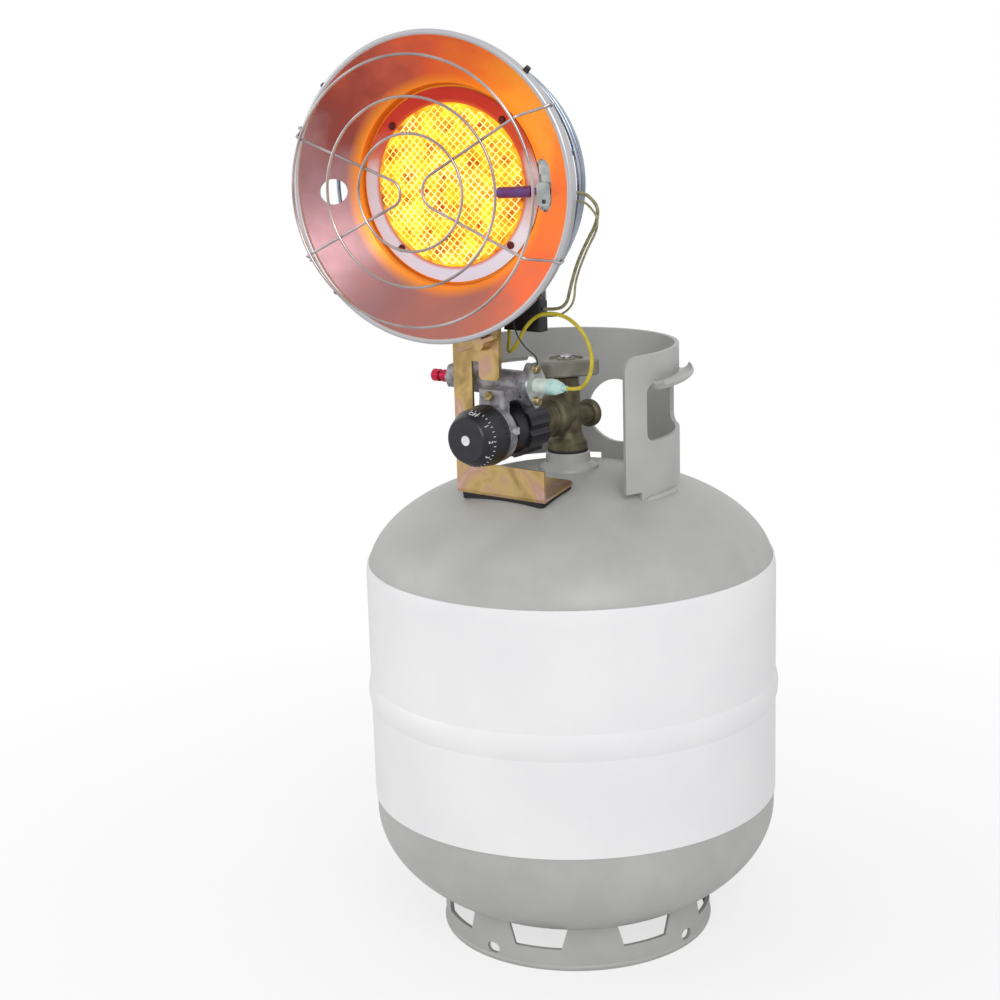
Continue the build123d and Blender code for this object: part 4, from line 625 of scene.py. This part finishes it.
def heat_tint_and_glow(name, by_turn, burner_glow, band_start, band_end, metallic, rough):
    """Sheet coloured by heat tint and by painted burner glow: a colour for each direction round the
    head, and a painted band of the burner's glow at the inner edge.
    """
    material = bpy.data.materials.new(name)
    material.use_nodes = True
    tree = material.node_tree
    shader = tree.nodes["Principled BSDF"]
    place = tree.nodes.new("ShaderNodeTexCoord")
    local = tree.nodes.new("ShaderNodeMapping")
    local.vector_type = "TEXTURE"
    local.inputs["Location"].default_value = head_centre
    local.inputs["Rotation"].default_value = head_place
    tree.links.new(place.outputs["Object"], local.inputs["Vector"])
    axes = tree.nodes.new("ShaderNodeSeparateXYZ")
    tree.links.new(local.outputs["Vector"], axes.inputs["Vector"])
    cloud = tree.nodes.new("ShaderNodeTexNoise")
    cloud.inputs["Scale"].default_value = cloud_grain
    cloud.inputs["Detail"].default_value = cloud_detail
    tree.links.new(place.outputs["Object"], cloud.inputs["Vector"])
    mottling = cloud.outputs["Fac"]
    flat = worked(tree, "ShaderNodeVectorMath", "MULTIPLY", local.outputs["Vector"], (1, 1, 0))
    reach = worked(tree, "ShaderNodeVectorMath", "LENGTH", flat.outputs["Vector"]).outputs["Value"]
    turn = worked(tree, "ShaderNodeMath", "ARCTAN2", axes.outputs["Y"], axes.outputs["X"])
    share = ranged(tree, turn.outputs["Value"], -math.pi, math.pi, 0, 1)
    drift = ranged(tree, mottling, cloud_low, cloud_high, -turn_drift, turn_drift)
    drifted = worked(tree, "ShaderNodeMath", "ADD", share, drift)
    colours = tree.nodes.new("ShaderNodeValToRGB")
    ramp = colours.color_ramp
    ramp.elements[0].position, ramp.elements[1].position = 0, 1
    ramp.elements[0].color, ramp.elements[1].color = by_turn[0][1], by_turn[-1][1]
    for degrees, colour in by_turn[1:-1]:
        ramp.elements.new((degrees + 180) / 360).color = colour
    tree.links.new(drifted.outputs["Value"], colours.inputs["Fac"])
    # Painted glow of the burner: a band at the inner edge takes the glow colour given after the
    # turn colours
    glow_share = ranged(tree, reach, band_start, band_end, 1, 0)
    tint_and_glow = mixed(tree, glow_share, colours.outputs["Color"], burner_glow)
    outward = place.outputs["Normal"]
    facing = worked(tree, "ShaderNodeVectorMath", "DOT_PRODUCT", outward, head_forward)
    behind = worked(tree, "ShaderNodeMath", "LESS_THAN", facing.outputs["Value"], front_facing)
    rim = ranged(tree, reach, rim_start, rim_full, 0, 1)
    bare = worked(tree, "ShaderNodeMath", "MAXIMUM", behind.outputs["Value"], rim)
    coloured = mixed(tree, bare.outputs["Value"], tint_and_glow, bare_steel)
    tree.links.new(coloured, shader.inputs["Base Color"])
    worn = ranged(tree, mottling, cloud_low, cloud_high, rough * band_smooth, rough * band_dull)
    tree.links.new(worn, shader.inputs["Roughness"])
    shader.inputs["Metallic"].default_value = metallic
    return material


# The dish's colours: heat tint at the left and below; the orange and yellow at the right and upper
# right are painted glow of the burner over the tint, and the colour after the list is a painted
# band of that glow where the dish turns in at the burner.
finish_node(heat_tint_and_glow("dish_tint_and_painted_glow", [
    (-180, tone(170, 128, 134)), (-150, tone(158, 120, 124)), (-120, tone(164, 112, 112)),
    (-90, tone(186, 120, 108)), (-65, tone(208, 120, 98)), (-40, tone(246, 116, 70)),
    (0, tone(250, 130, 64)), (20, tone(252, 172, 76)), (40, tone(250, 168, 58)),
    (62, tone(250, 138, 52)), (88, tone(238, 104, 60)), (108, tone(204, 96, 74)),
    (132, tone(158, 70, 60)), (146, tone(148, 74, 68)), (160, tone(160, 108, 108)),
    (180, tone(170, 128, 134)),
], tone(255, 154, 44), band_start=0.0715, band_end=0.0785, metallic=0.6, rough=0.38), "reflector")
# The ring's colours are heat stain; the colour after the list is a painted band of the burner's
# glow at its inner edge.
finish_node(heat_tint_and_glow("ring_stain_and_painted_glow", [
    (-180, tone(228, 210, 216)), (-140, tone(238, 228, 240)), (-90, tone(232, 228, 244)),
    (-30, tone(242, 236, 244)), (-6, tone(232, 200, 196)), (14, tone(222, 84, 40)),
    (45, tone(206, 50, 22)), (95, tone(194, 38, 16)), (140, tone(208, 56, 28)),
    (166, tone(220, 130, 110)), (180, tone(228, 210, 216)),
], tone(232, 96, 32), band_start=0.0573, band_end=0.0600, metallic=0.35, rough=0.42), "burner_ring")

# Grille and guard: drawn wire, resistance welded at every crossing and bright plated. The guard
# behind stays cooler and bluer than the grille, which the burner has browned a little.
grille_plate = coat_of("grille_plate", tone(196, 188, 188), tone(150, 138, 138), 30, 0.24, 1.0)
guard_plate = coat_of("guard_plate", tone(176, 184, 196), tone(132, 140, 154), 30, 0.28, 1.0)
finish_node(grille_plate, "front_grille")
finish_node(guard_plate, "rear_guard")

# Thermocouple: a steel probe, blued in the middle and reddened at both ends by the burner.
blued_probe = coat_of("blued_probe", tone(96, 92, 172), tone(124, 52, 82), 60, 0.34, 0.7, 0.15)
finish_node(blued_probe, "thermocouple")
